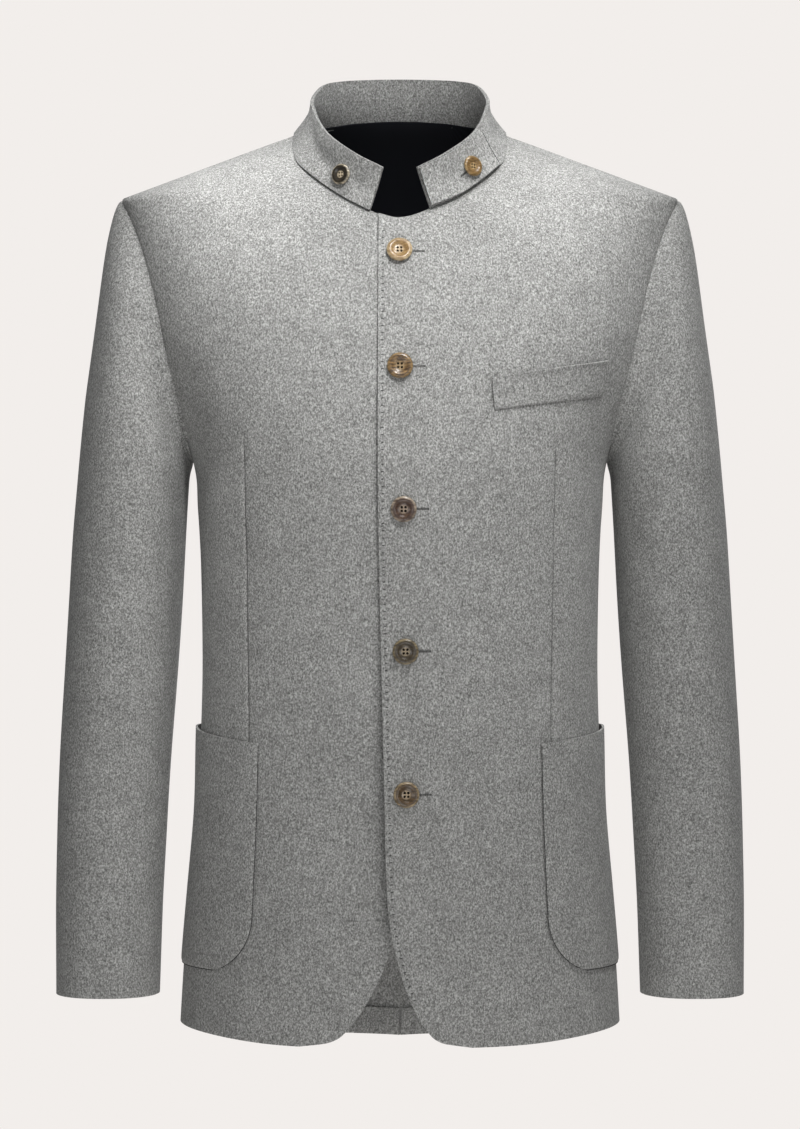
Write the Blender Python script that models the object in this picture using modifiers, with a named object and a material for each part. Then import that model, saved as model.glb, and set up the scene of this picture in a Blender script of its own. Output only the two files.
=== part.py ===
"""Loden jacket with a stand collar, filled out as it is worn, with nobody in it.

The origin is between the shoulder seams' neck ends. The wearer faces -Y and the wearer's left is +X.
Tables are in millimetres and give the inner face of the cloth; each wall grows outwards from it.
"""
import math
from bisect import bisect_right
from collections import namedtuple

import bmesh
import bpy
from mathutils import Vector

MM = 0.001

# Cloth
CLOTH = 2.0
COLLAR_CLOTH = 3.0
TAB_CLOTH = 2.2
POCKET_CLOTH = 1.8
LINING_CLOTH = 1.0
HEM_CLOTH = 1.6
SEAM = 0.3
LAID_ON = 0.7
LINING_GAP = 1.1

# Body form: horizontal sections between the hem and the back of the neck
ROUNDNESS = 2.4
FORM_STEP = 0.5
Section = namedtuple("Section", "at width front back")
SECTIONS = (
    Section(-760, 180, 126, 122),
    Section(-680, 175, 124, 119),
    Section(-620, 170, 122, 114),
    Section(-560, 165, 120, 107),
    Section(-490, 161, 119, 99),
    Section(-430, 159, 119, 97),
    Section(-360, 160, 124, 103),
    Section(-310, 163, 129, 112),
    Section(-265, 168, 132, 120),
    Section(-180, 198, 123, 119),
    Section(-120, 212, 108, 112),
    Section(-78, 221, 88, 101),
    Section(-56, 226, 72, 95),
    Section(-24, 150, 43, 82),
    Section(-8, 104, 15, 75),
    Section(0, 82, 4, 71),
    Section(17, 66, 2, 60),
)
NECK_HALF = 83.0
NECK_Z = -2.0
TIP_HALF = 226.0
TIP_Z = -56.0
NECK_TAPER = 1.05

# Armhole loop, by its turn from the shoulder tip down to the underarm
ARMHOLE_LOW_Z = -268.0
ARMHOLE_FRONT_REACH = 15.0
ARMHOLE_BACK_REACH = 16.0
ARMHOLE_SKEW = 0.25
LOOP_STEP = 15
PITCH_TURN = 135
SIDE_SEAM_TURN = 150

# Fronts: how far each edge reaches past the centre line
FrontEdge = namedtuple("FrontEdge", "at left right")
FRONT_EDGES = (
    FrontEdge(-733, -56, -79),
    FrontEdge(-729, -33, -55),
    FrontEdge(-719, -21, -41),
    FrontEdge(-698, -9, -26),
    FrontEdge(-672, 0, -13),
    FrontEdge(-636, 8, -2),
    FrontEdge(-587, 11, 7),
    FrontEdge(-540, 12, 13),
    FrontEdge(-300, 17, 17),
    FrontEdge(-60, 17, 17),
)
LAP_LIFT = 2.7
LAP_FULL = 20.0
LAP_END = 50.0
LAP_SIDE_ANGLE = 80.0
EDGE_CURL = 3.0
EDGE_CURL_REACH = 34.0
EDGE_CURL_TOP = -400.0
EDGE_CURL_FULL = -560.0

# Hem level round the body, and the rows of cloth from hem to underarm
Hem = namedtuple("Hem", "at level")
HEM = (
    Hem(0, -733),
    Hem(40, -732),
    Hem(70, -726),
    Hem(90, -725),
    Hem(112, -731),
    Hem(140, -748),
    Hem(180, -754),
)
ROWS = (0, 0.01, 0.033, 0.076, 0.127, 0.2, 0.29, 0.38, 0.47, 0.56, 0.65, 0.74, 0.83, 0.915, 1)
FRONT_COLUMNS = 12
BACK_COLUMNS = 10
SHOULDER_COLUMNS = 5
PITCH_AT_HEM = 70.0
BACK_PITCH_AT_HEM = 118.0
SIDE_SEAM_AT_HEM = 112.0

# Necklines as seen from the front
Neck = namedtuple("Neck", "at x z")
FRONT_NECK = (
    Neck(-0.2, -17, -75.5),
    Neck(0.0, 0, -79),
    Neck(0.25, 23, -72),
    Neck(0.55, 55, -53),
    Neck(0.8, 79, -31),
    Neck(0.9, 84, -16),
    Neck(1.0, NECK_HALF, NECK_Z),
)
BACK_NECK = (
    Neck(0.0, 0, 15),
    Neck(0.25, 22, 14.2),
    Neck(0.5, 44, 11.6),
    Neck(0.75, 65, 6.4),
    Neck(1.0, NECK_HALF, NECK_Z),
)

# Stand collar: its top edge from the front end to the centre back
CollarTop = namedtuple("CollarTop", "at x y z")
COLLAR_TOP = (
    CollarTop(0.0, 13, -89, -37),
    CollarTop(0.2, 36, -80, -24),
    CollarTop(0.42, 59, -53, -4),
    CollarTop(0.62, 70, -11, 22),
    CollarTop(0.7, 69, 11, 33),
    CollarTop(0.79, 61, 31, 44.5),
    CollarTop(0.86, 47, 43, 48.8),
    CollarTop(0.93, 25, 50.5, 50.8),
    CollarTop(1.0, 0, 53, 51.5),
)
COLLAR_END = 0.25
COLLAR_SEAT_OUT = 1.7
CollarSeat = namedtuple("CollarSeat", "at rise")
COLLAR_SEATS = (
    CollarSeat(0.0, 1.75),
    CollarSeat(0.4, 2.15),
    CollarSeat(0.6, 2.25),
    CollarSeat(0.75, 2.0),
    CollarSeat(1.0, 1.3),
)
COLLAR_BOW = -1.4
COLLAR_FRONT_COLUMNS = 12
COLLAR_COLUMNS = 20
COLLAR_FRONT_SHARE = COLLAR_FRONT_COLUMNS / COLLAR_COLUMNS
COLLAR_ROWS = 4
COLLAR_STEP = 0.01
TAB_END_LOW = 0.43
TAB_END_HIGH = 0.45
TAB_COLUMNS = 10
TAB_START = 0.004
TabRow = namedtuple("TabRow", "height cut")
TAB_ROWS = (
    TabRow(0.05, 0),
    TabRow(0.28, 0),
    TabRow(0.52, 0),
    TabRow(0.76, 0),
    TabRow(0.9, 0.008),
    TabRow(0.97, 0.03),
)

# Sleeves: level sections from the underarm to the cuff, and how the head leaves the armhole
SleeveRing = namedtuple("SleeveRing", "at inner outer centre depth")
SLEEVE_RINGS = (
    SleeveRing(-700, 197, 277, -27, 49),
    SleeveRing(-628, 195, 278, -20, 52),
    SleeveRing(-570, 192, 277, -14, 55),
    SleeveRing(-513, 189, 275, -8, 59),
    SleeveRing(-450, 185, 272, -3, 63),
    SleeveRing(-382, 181, 269, 1, 67),
    SleeveRing(-330, 178, 266, 2, 70),
    SleeveRing(-285, 175, 262, 3, 72),
)
SLEEVE_ROUNDNESS = 2.2
SLEEVE_LEVELS = (-285, -330, -382, -430, -478, -526, -574, -622, -666, -692, -700)
SleeveHead = namedtuple("SleeveHead", "at leave arrive")
SLEEVE_HEAD = (
    SleeveHead(0, 10, 105),
    SleeveHead(45, 22, 95),
    SleeveHead(90, 34, 78),
    SleeveHead(135, 18, 34),
    SleeveHead(180, 4, 7),
)
HEAD_ROWS = 7
HEAD_OUT = Vector((0.967, 0.0, -0.253))
HEAD_PUFF = 0.25
UNDERARM_TURN = 110.0
ARMHOLE_SEAT = 0.4
UNDERARM_SEAT = 4.4
UNDER_SLEEVE_FRONT = 165
UNDER_SLEEVE_BACK = 240

# Patch pockets, by their angle round the body
POCKET_FRONT = 49.0
POCKET_BACK = 109.0
POCKET_LOW_Z = -677.0
POCKET_CORNER = 46.0
PocketMouth = namedtuple("PocketMouth", "at level")
POCKET_MOUTH = (
    PocketMouth(49, -495),
    PocketMouth(72, -489),
    PocketMouth(90, -485),
    PocketMouth(109, -485),
)
POCKET_ROWS = (0, 4, 15, 34, 60, 90, 120, 150, 175, 191)
POCKET_COLUMNS = 14
POCKET_GAPE = 2.0
POCKET_GAPE_AT = 92.0
POCKET_GAPE_SPREAD = 20.0
POCKET_GAPE_FROM = 0.6

# Breast welt corners as seen from the front
WeltEdge = namedtuple("WeltEdge", "front_x front_z side_x side_z")
WELT_LOW = WeltEdge(76, -232, 161, -219)
WELT_TOP = WeltEdge(71, -207, 163, -190)
WELT_COLUMNS = 9

# Buttons: place on the left front, or on the collar by its run and height
FrontButton = namedtuple("FrontButton", "x z")
FRONT_BUTTONS = (
    FrontButton(-0.4, -107),
    FrontButton(0.0, -198),
    FrontButton(2.8, -309),
    FrontButton(4.3, -421),
    FrontButton(4.7, -534),
)
FRONT_BUTTON_RADIUS = 10.2
COLLAR_BUTTON_RADIUS = 8.4
ButtonStep = namedtuple("ButtonStep", "radius height")
BUTTON_PROFILE = (
    ButtonStep(0.0, 0.26),
    ButtonStep(0.46, 0.26),
    ButtonStep(0.62, 0.38),
    ButtonStep(0.84, 0.36),
    ButtonStep(1.0, 0.2),
    ButtonStep(0.86, 0.0),
    ButtonStep(0.0, 0.0),
)
BUTTON_SIDES = 16
FRONT_BUTTON_SEAT = 0.95
COLLAR_BUTTON_SEAT = 0.75
BUTTON_MERGE = 0.00001
HOLE_RADIUS = 0.1
HOLE_SPREAD = 0.22
HOLE_SIDES = 6
CollarPlace = namedtuple("CollarPlace", "at height")
COLLAR_BUTTON = CollarPlace(0.205, 0.4)
TAB_BUTTON = CollarPlace(0.28, 0.38)

# Turned-up hem inside the back
BACK_HEM_DEPTH = 23.0
SHARP_ANGLE = 40.0

Finish = namedtuple("Finish", "name colour roughness")
LODEN = Finish("grey_loden", (0.21, 0.21, 0.205), 0.9)
LINING = Finish("dark_lining", (0.006, 0.007, 0.011), 0.5)
HORN = Finish("brown_horn", (0.1, 0.055, 0.025), 0.35)


def clear_scene():
    for old in list(bpy.data.objects):
        bpy.data.objects.remove(old, do_unlink=True)


def new_collection(name):
    collection = bpy.data.collections.new(name)
    bpy.context.scene.collection.children.link(collection)
    return collection


def make_material(finish):
    material = bpy.data.materials.new(finish.name)
    material.use_nodes = True
    shader = material.node_tree.nodes["Principled BSDF"]
    shader.inputs["Base Color"].default_value = (*finish.colour, 1.0)
    shader.inputs["Roughness"].default_value = finish.roughness
    shader.inputs["Metallic"].default_value = 0.0
    return material


def mix(start, end, share):
    return start + (end - start) * share


def ease(start, end, value):
    share = min(max((value - start) / (end - start), 0.0), 1.0)
    return share * share * (3.0 - 2.0 * share)


def read(rows, at, column):
    """Value of a named column, on a smooth curve through a table sorted by its first column."""
    rows = sorted(rows, key=lambda row: row.at)
    places = [row.at for row in rows]
    values = [getattr(row, column) for row in rows]
    at = min(max(at, places[0]), places[-1])
    low = min(max(bisect_right(places, at) - 1, 0), len(rows) - 2)

    def slope(index):
        before = max(index - 1, 0)
        after = min(index + 1, len(rows) - 1)
        return (values[after] - values[before]) / (places[after] - places[before])

    run = places[low + 1] - places[low]
    share = (at - places[low]) / run
    square, cube = share ** 2, share ** 3
    start = (2 * cube - 3 * square + 1) * values[low] + (cube - 2 * square + share) * run * slope(low)
    end = (3 * square - 2 * cube) * values[low + 1] + (cube - square) * run * slope(low + 1)
    return start + end


# Body form


def half_width(z):
    if z <= TIP_Z:
        below = [row for row in SECTIONS if row.at <= TIP_Z]
        return read(below, z, "width")
    if z <= NECK_Z:
        return mix(TIP_HALF, NECK_HALF, (z - TIP_Z) / (NECK_Z - TIP_Z))
    return NECK_HALF - NECK_TAPER * (z - NECK_Z)


def depth(z, face):
    return max(read(SECTIONS, z, face), 1.0)


def round_point(phi, z):
    """Point of the body form at an angle from the centre front, towards the wearer's left."""
    angle = math.radians(phi)
    face = "front" if math.cos(angle) > 0 else "back"
    across = abs(math.sin(angle)) / half_width(z)
    along = abs(math.cos(angle)) / depth(z, face)
    radius = (across ** ROUNDNESS + along ** ROUNDNESS) ** (-1.0 / ROUNDNESS)
    return Vector((radius * math.sin(angle), -radius * math.cos(angle), z))


def face_point(x, z, face):
    """Point of the body form as seen from the front or the back."""
    share = min(abs(x) / half_width(z), 1.0)
    out = depth(z, face) * (1.0 - share ** ROUNDNESS) ** (1.0 / ROUNDNESS)
    return Vector((x, -out if face == "front" else out, z))


def form_level(point):
    face = "front" if point.y < 0 else "back"
    across = abs(point.x) / half_width(point.z)
    along = abs(point.y) / depth(point.z, face)
    return (across ** ROUNDNESS + along ** ROUNDNESS) ** (1.0 / ROUNDNESS)


def form_normal(point):
    slopes = []
    for axis in range(3):
        shift = Vector((0.0, 0.0, 0.0))
        shift[axis] = FORM_STEP
        slopes.append(form_level(point + shift) - form_level(point - shift))
    return Vector(slopes).normalized()


def raised(point, height):
    return point + form_normal(point) * height


def angle_of(point):
    return math.degrees(math.atan2(point.x, -point.y))


def loop_angles(turn, face):
    """Angle round the body and height of the armhole loop at a turn from the shoulder tip."""
    angle = math.radians(turn)
    middle = (TIP_Z + ARMHOLE_LOW_Z) / 2
    z = middle + (TIP_Z - middle) * math.cos(angle)
    reach = -ARMHOLE_FRONT_REACH if face == "front" else ARMHOLE_BACK_REACH
    phi = 90.0 + reach * math.sin(angle) * (1.0 - ARMHOLE_SKEW * math.cos(angle))
    return phi, z


def loop_point(turn):
    """Armhole loop point; turns under 180 run down the front, the others up the back."""
    if turn <= 180:
        return round_point(*loop_angles(turn, "front"))
    return round_point(*loop_angles(360 - turn, "back"))


# Panel nets: rows of points for the wearer's left half


def lap_lift(point, side):
    """Height of the upper front over the lower one, with its edge curling outwards lower down."""
    if side != "left":
        return 0.0
    lift = LAP_LIFT * (1.0 - ease(LAP_FULL, LAP_END, point.x))
    edge = -read(FRONT_EDGES, point.z, "left")
    near = 1.0 - ease(0.0, EDGE_CURL_REACH, point.x - edge)
    return lift + EDGE_CURL * near * ease(EDGE_CURL_TOP, EDGE_CURL_FULL, point.z)


def front_point(phi, z, side):
    point = round_point(phi, z)
    return raised(point, lap_lift(point, side)) if phi < LAP_SIDE_ANGLE else point


def on_left_front(x, z):
    """Point on the outer face of the upper front."""
    point = face_point(x, z, "front")
    return raised(point, CLOTH + lap_lift(point, "left"))


def neck_and_shoulder(neck, start, columns):
    """Top edge of a panel: along the neckline, then down the shoulder to its tip."""
    neck_columns = columns - SHOULDER_COLUMNS
    edge = []
    for column in range(neck_columns):
        at = mix(start, 1.0, column / neck_columns)
        edge.append((read(neck, at, "x"), read(neck, at, "z")))
    for column in range(SHOULDER_COLUMNS + 1):
        share = column / SHOULDER_COLUMNS
        edge.append((mix(NECK_HALF, TIP_HALF, share), mix(NECK_Z, TIP_Z, share)))
    return edge


def upper_rows(lowest, top, face):
    """Rows from the underarm to the top edge, by blending the four edges as seen from the front."""
    last = len(lowest) - 1
    steps = PITCH_TURN // LOOP_STEP
    full = 1.0 - math.cos(math.radians(PITCH_TURN))
    rows = []
    for step in range(1, steps + 1):
        turn = PITCH_TURN - LOOP_STEP * step
        rise = 1.0 - (1.0 - math.cos(math.radians(turn))) / full
        hole = round_point(*loop_angles(turn, face))
        row = []
        for column in range(last + 1):
            share = column / last
            x = mix(lowest[column].x, top[column][0], rise)
            z = mix(lowest[column].z, top[column][1], rise)
            x += share * (hole.x - mix(lowest[last].x, top[last][0], rise))
            z += share * (hole.z - mix(lowest[last].z, top[last][1], rise))
            row.append(face_point(x, z, face))
        row[last] = hole
        rows.append(row)
    return rows


def front_net(side):
    pitch_phi, pitch_z = loop_angles(PITCH_TURN, "front")
    underarm = [loop_angles(turn, "front") for turn in range(PITCH_TURN, 180, LOOP_STEP)]
    underarm += [loop_angles(turn, "back") for turn in range(180, SIDE_SEAM_TURN - 1, -LOOP_STEP)]
    net = []
    for rise in ROWS:
        edge_z = mix(HEM[0].level, pitch_z, rise)
        edge_x = -read(FRONT_EDGES, edge_z, side)
        edge_phi = angle_of(face_point(edge_x, edge_z, "front"))
        pitch = mix(PITCH_AT_HEM, pitch_phi, rise)
        row = []
        for column in range(FRONT_COLUMNS):
            phi = mix(edge_phi, pitch, column / FRONT_COLUMNS)
            z = mix(read(HEM, abs(phi), "level"), pitch_z, rise)
            row.append(front_point(phi, z, side))
        for column, (top_phi, top_z) in enumerate(underarm):
            low_phi = mix(PITCH_AT_HEM, SIDE_SEAM_AT_HEM, column / (len(underarm) - 1))
            z = mix(read(HEM, low_phi, "level"), top_z, rise)
            row.append(front_point(mix(low_phi, top_phi, rise), z, side))
        net.append(row)
    flat = [face_point(point.x, point.z, "front") for point in net[-1][: FRONT_COLUMNS + 1]]
    top = neck_and_shoulder(FRONT_NECK, FRONT_NECK[0].at, FRONT_COLUMNS)
    for row in upper_rows(flat, top, "front"):
        net.append([raised(point, lap_lift(point, side)) for point in row])
    return [[point + Vector((0.0, -SEAM / 2, 0.0)) for point in row] for row in net]


def back_net():
    pitch_phi, pitch_z = loop_angles(PITCH_TURN, "back")
    seam_phi, seam_z = loop_angles(SIDE_SEAM_TURN, "back")
    net = []
    for rise in ROWS:
        pitch = mix(BACK_PITCH_AT_HEM, pitch_phi, rise)
        row = []
        for column in range(BACK_COLUMNS + 1):
            phi = mix(180.0, pitch, column / BACK_COLUMNS)
            z = mix(read(HEM, phi, "level"), pitch_z, rise)
            row.append(round_point(phi, z))
        z = mix(read(HEM, SIDE_SEAM_AT_HEM, "level"), seam_z, rise)
        row.append(round_point(mix(SIDE_SEAM_AT_HEM, seam_phi, rise), z))
        net.append(row)
    top = neck_and_shoulder(BACK_NECK, 0.0, BACK_COLUMNS)
    net += upper_rows(net[-1][: BACK_COLUMNS + 1], top, "back")
    return [[point + Vector((SEAM / 2, SEAM / 2, 0.0)) for point in row] for row in net]


def collar_base(at, side):
    """Collar seam from the front end to the centre back, seated on the neckline."""
    if at <= COLLAR_FRONT_SHARE:
        place = mix(COLLAR_END, 1.0, at / COLLAR_FRONT_SHARE)
        point = face_point(read(FRONT_NECK, place, "x"), read(FRONT_NECK, place, "z"), "front")
        point = raised(point, lap_lift(point, side))
    else:
        place = mix(1.0, 0.0, (at - COLLAR_FRONT_SHARE) / (1.0 - COLLAR_FRONT_SHARE))
        point = face_point(read(BACK_NECK, place, "x"), read(BACK_NECK, place, "z"), "back")
    away = Vector((point.x, point.y, 0.0)).normalized() * COLLAR_SEAT_OUT
    return point + away + Vector((0.0, 0.0, read(COLLAR_SEATS, at, "rise")))


def collar_point(at, height, side):
    low = collar_base(at, side)
    high = Vector([read(COLLAR_TOP, at, axis) for axis in "xyz"])
    bow = Vector((low.x, low.y, 0.0)).normalized() * COLLAR_BOW * math.sin(math.pi * height)
    return low.lerp(high, height) + bow


def collar_normal(at, height, side):
    after, before = min(at + COLLAR_STEP, 1.0), max(at - COLLAR_STEP, 0.0)
    above, below = min(height + COLLAR_STEP, 1.0), max(height - COLLAR_STEP, 0.0)
    along = collar_point(after, height, side) - collar_point(before, height, side)
    up = collar_point(at, above, side) - collar_point(at, below, side)
    return along.cross(up).normalized()


def on_collar(at, height, side, out):
    return collar_point(at, height, side) + collar_normal(at, height, side) * out


def collar_net():
    shares = [column / COLLAR_COLUMNS for column in range(COLLAR_COLUMNS + 1)]
    net = []
    for step in range(COLLAR_ROWS + 1):
        height = step / COLLAR_ROWS
        left = [collar_point(at, height, "left") for at in shares]
        right = [collar_point(at, height, "right") for at in shares]
        net.append([Vector((-p.x, p.y, p.z)) for p in right] + left[-2::-1])
    return net


def tab_net():
    out = COLLAR_CLOTH + LAID_ON
    net = []
    for level in TAB_ROWS:
        end = mix(TAB_END_LOW, TAB_END_HIGH, level.height) - level.cut
        row = []
        for column in range(TAB_COLUMNS + 1):
            at = mix(TAB_START, end, column / TAB_COLUMNS)
            row.append(on_collar(at, level.height, "left", out))
        net.append(row)
    return net


def sleeve_level(turn, z):
    """Point of the level sleeve section; turn 0 is outermost, 90 in front, 180 at the underarm."""
    inner = read(SLEEVE_RINGS, z, "inner")
    outer = read(SLEEVE_RINGS, z, "outer")
    angle = math.radians(turn)
    power = 2.0 / SLEEVE_ROUNDNESS
    across = math.copysign(abs(math.cos(angle)) ** power, math.cos(angle))
    along = math.copysign(abs(math.sin(angle)) ** power, math.sin(angle))
    x = (inner + outer) / 2 + (outer - inner) / 2 * across
    return Vector((x, read(SLEEVE_RINGS, z, "centre") - read(SLEEVE_RINGS, z, "depth") * along, z))


def sleeve_head(turn):
    """Curve from the armhole seam, out and over, down to the first level section."""
    down = min(turn, 360 - turn)
    angle = math.radians(turn)
    fall = ease(UNDERARM_TURN, 180.0, down)
    puff = Vector((0.0, -math.sin(angle) * HEAD_PUFF, 0.0))
    out = (HEAD_OUT * (1.0 - fall) + Vector((0.0, 0.0, -fall)) + puff * (1.0 - fall)).normalized()
    seat = mix(ARMHOLE_SEAT, UNDERARM_SEAT, math.sin(math.radians(down / 2)))
    start = loop_point(turn) + Vector((seat, 0.0, 0.0))
    end = sleeve_level(turn, SLEEVE_LEVELS[0])
    below = sleeve_level(turn, SLEEVE_LEVELS[1])
    first = start + out * read(SLEEVE_HEAD, down, "leave")
    second = end + (end - below).normalized() * read(SLEEVE_HEAD, down, "arrive")
    curve = []
    for step in range(HEAD_ROWS):
        share = step / HEAD_ROWS
        rest = 1.0 - share
        point = start * rest ** 3 + first * 3 * rest ** 2 * share
        curve.append(point + second * 3 * rest * share ** 2 + end * share ** 3)
    return curve


def sleeve_net(first_turn, last_turn):
    """Rows from the armhole to the cuff between two seams, each moved half a seam apart."""
    columns = []
    turns = list(range(first_turn, last_turn + 1, LOOP_STEP))
    for turn in turns:
        nudge = {turns[0]: 1.0, turns[-1]: -1.0}.get(turn, 0.0)
        column = sleeve_head(turn % 360)
        column += [sleeve_level(turn, z) for z in SLEEVE_LEVELS]
        nearby = sleeve_head((turn + 1) % 360)
        nearby += [sleeve_level(turn + 1, z) for z in SLEEVE_LEVELS]
        moved = []
        for point, beside in zip(column, nearby):
            moved.append(point + (beside - point).normalized() * nudge * SEAM)
        columns.append(moved)
    return [list(row) for row in zip(*columns)]


def pocket_net():
    net = []
    height = POCKET_ROWS[-1]
    for rise in POCKET_ROWS:
        share = rise / height
        inset = 0.0
        if rise < POCKET_CORNER:
            inset = POCKET_CORNER - math.sqrt(POCKET_CORNER ** 2 - (POCKET_CORNER - rise) ** 2)
        turn = math.degrees(inset / half_width(POCKET_LOW_Z))
        row = []
        for column in range(POCKET_COLUMNS + 1):
            phi = mix(POCKET_FRONT + turn, POCKET_BACK - turn, column / POCKET_COLUMNS)
            z = mix(POCKET_LOW_Z, read(POCKET_MOUTH, phi, "level"), share)
            gape = math.exp(-((phi - POCKET_GAPE_AT) / POCKET_GAPE_SPREAD) ** 2)
            gape *= POCKET_GAPE * ease(POCKET_GAPE_FROM, 1.0, share)
            row.append(raised(round_point(phi, z), CLOTH + LAID_ON + gape))
        net.append(row)
    return net


def welt_net():
    net = []
    for line in (WELT_LOW, WELT_TOP):
        row = []
        for column in range(WELT_COLUMNS + 1):
            share = column / WELT_COLUMNS
            x = mix(line.front_x, line.side_x, share)
            z = mix(line.front_z, line.side_z, share)
            row.append(raised(face_point(x, z, "front"), CLOTH + LAID_ON))
        net.append(row)
    return net


def lining_net(back):
    """Yoke lining inside both backs, from the underarm up to the collar and shoulder seams."""
    inside = -(LINING_GAP + LINING_CLOTH)
    net = []
    for row in back[len(ROWS) - 1 :]:
        left = [raised(point, inside) for point in row[:BACK_COLUMNS]]
        right = [Vector((-point.x, point.y, point.z)) for point in left[:0:-1]]
        left[0].x = 0.0
        net.append(right + left)
    return net


def back_hem_net(back):
    """Turned-up hem inside one back."""
    inside = -(LAID_ON + HEM_CLOTH)
    net = []
    for rise in (0.0, BACK_HEM_DEPTH):
        level = [round_point(angle_of(point), point.z + rise) for point in back[0]]
        net.append([raised(point, inside) + Vector((SEAM / 2, 0.0, 0.0)) for point in level])
    return net


# Solids


def add_object(name, mesh, material, collection):
    mesh.materials.append(material)
    mesh.shade_smooth()
    mesh.set_sharp_from_angle(angle=math.radians(SHARP_ANGLE))
    piece = bpy.data.objects.new(name, mesh)
    collection.objects.link(piece)
    return piece


def cloth_wall(name, net, wall, material, collection, outwards, mirrored=False):
    """Wall of cloth over a net of points, turned so that it grows away from a middle point."""
    shape = bmesh.new()
    sign = -1.0 if mirrored else 1.0
    rows = []
    for row in net:
        rows.append([shape.verts.new((sign * p.x * MM, p.y * MM, p.z * MM)) for p in row])
    for low, high in zip(rows, rows[1:]):
        for column in range(min(len(low), len(high)) - 1):
            corners = [low[column], low[column + 1], high[column + 1], high[column]]
            turned = not mirrored and low[column].co.x < 0.0
            shape.faces.new(corners[1:] + corners[:1] if turned else corners)
    shape.normal_update()
    middle = Vector((sign * outwards[0] * MM, outwards[1] * MM, 0.0))
    facing = 0.0
    for face in shape.faces:
        away = face.calc_center_median() - middle
        away.z = 0.0
        facing += face.normal.dot(away) * face.calc_area()
    if facing < 0.0:
        bmesh.ops.reverse_faces(shape, faces=shape.faces)
    mesh = bpy.data.meshes.new(name)
    shape.to_mesh(mesh)
    shape.free()
    piece = add_object(name, mesh, material, collection)
    solid = piece.modifiers.new("cloth", "SOLIDIFY")
    solid.thickness = wall * MM
    solid.offset = 1.0
    return piece


def hole_cutter(name, button, radius, collection):
    """Four thread holes as one cutter, hung on its button."""
    shape = bmesh.new()
    for quarter in range(4):
        angle = math.radians(45.0 + 90.0 * quarter)
        made = bmesh.ops.create_cone(
            shape,
            cap_ends=True,
            segments=HOLE_SIDES,
            radius1=HOLE_RADIUS * radius * MM,
            radius2=HOLE_RADIUS * radius * MM,
            depth=2.0 * radius * MM,
        )
        spread = HOLE_SPREAD * radius * MM
        place = Vector((math.cos(angle) * spread, math.sin(angle) * spread, 0.0))
        bmesh.ops.translate(shape, verts=made["verts"], vec=place)
    mesh = bpy.data.meshes.new(name)
    shape.to_mesh(mesh)
    shape.free()
    cutter = bpy.data.objects.new(name, mesh)
    collection.objects.link(cutter)
    cutter.parent = button
    cutter.hide_render = True
    cutter.display_type = "WIRE"
    return cutter


def add_button(name, place, facing, radius, material, collection, cutters):
    """Turned button with a rim, a dished middle and four thread holes."""
    shape = bmesh.new()
    size = radius * MM
    profile = [shape.verts.new((step.radius * size, 0.0, step.height * size)) for step in BUTTON_PROFILE]
    for start, end in zip(profile, profile[1:]):
        shape.edges.new((start, end))
    mesh = bpy.data.meshes.new(name)
    shape.to_mesh(mesh)
    shape.free()
    button = add_object(name, mesh, material, collection)
    turned = button.modifiers.new("turned", "SCREW")
    turned.steps = BUTTON_SIDES
    turned.render_steps = BUTTON_SIDES
    turned.use_merge_vertices = True
    turned.merge_threshold = BUTTON_MERGE
    button.location = place * MM
    button.rotation_euler = facing.to_track_quat("Z", "Y").to_euler()
    holes = button.modifiers.new("holes", "BOOLEAN")
    holes.operation = "DIFFERENCE"
    holes.solver = "EXACT"
    holes.object = hole_cutter(name + "_holes", button, radius, cutters)
    return button


def build_body(cloth, lining, collection):
    for side in ("left", "right"):
        flip = side == "right"
        cloth_wall("front_" + side, front_net(side), CLOTH, cloth, collection, (0, 0), flip)
        cloth_wall("back_" + side, back_net(), CLOTH, cloth, collection, (0, 0), flip)
        cloth_wall("back_hem_" + side, back_hem_net(back_net()), HEM_CLOTH, cloth, collection, (0, 0), flip)
        cloth_wall("pocket_" + side, pocket_net(), POCKET_CLOTH, cloth, collection, (0, 0), flip)
    cloth_wall("breast_welt", welt_net(), POCKET_CLOTH, cloth, collection, (0, 0))
    cloth_wall("back_lining", lining_net(back_net()), LINING_CLOTH, lining, collection, (0, 0))


def build_sleeves(cloth, collection):
    cuff = SLEEVE_RINGS[0]
    middle = ((cuff.inner + cuff.outer) / 2, cuff.centre)
    under = (UNDER_SLEEVE_FRONT, UNDER_SLEEVE_BACK)
    upper = (UNDER_SLEEVE_BACK - 360, UNDER_SLEEVE_FRONT)
    for side in ("left", "right"):
        flip = side == "right"
        cloth_wall("upper_sleeve_" + side, sleeve_net(*upper), CLOTH, cloth, collection, middle, flip)
        cloth_wall("under_sleeve_" + side, sleeve_net(*under), CLOTH, cloth, collection, middle, flip)


def build_collar(cloth, collection):
    cloth_wall("collar", collar_net(), COLLAR_CLOTH, cloth, collection, (0, 0))
    cloth_wall("collar_tab", tab_net(), TAB_CLOTH, cloth, collection, (0, 0))


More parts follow.
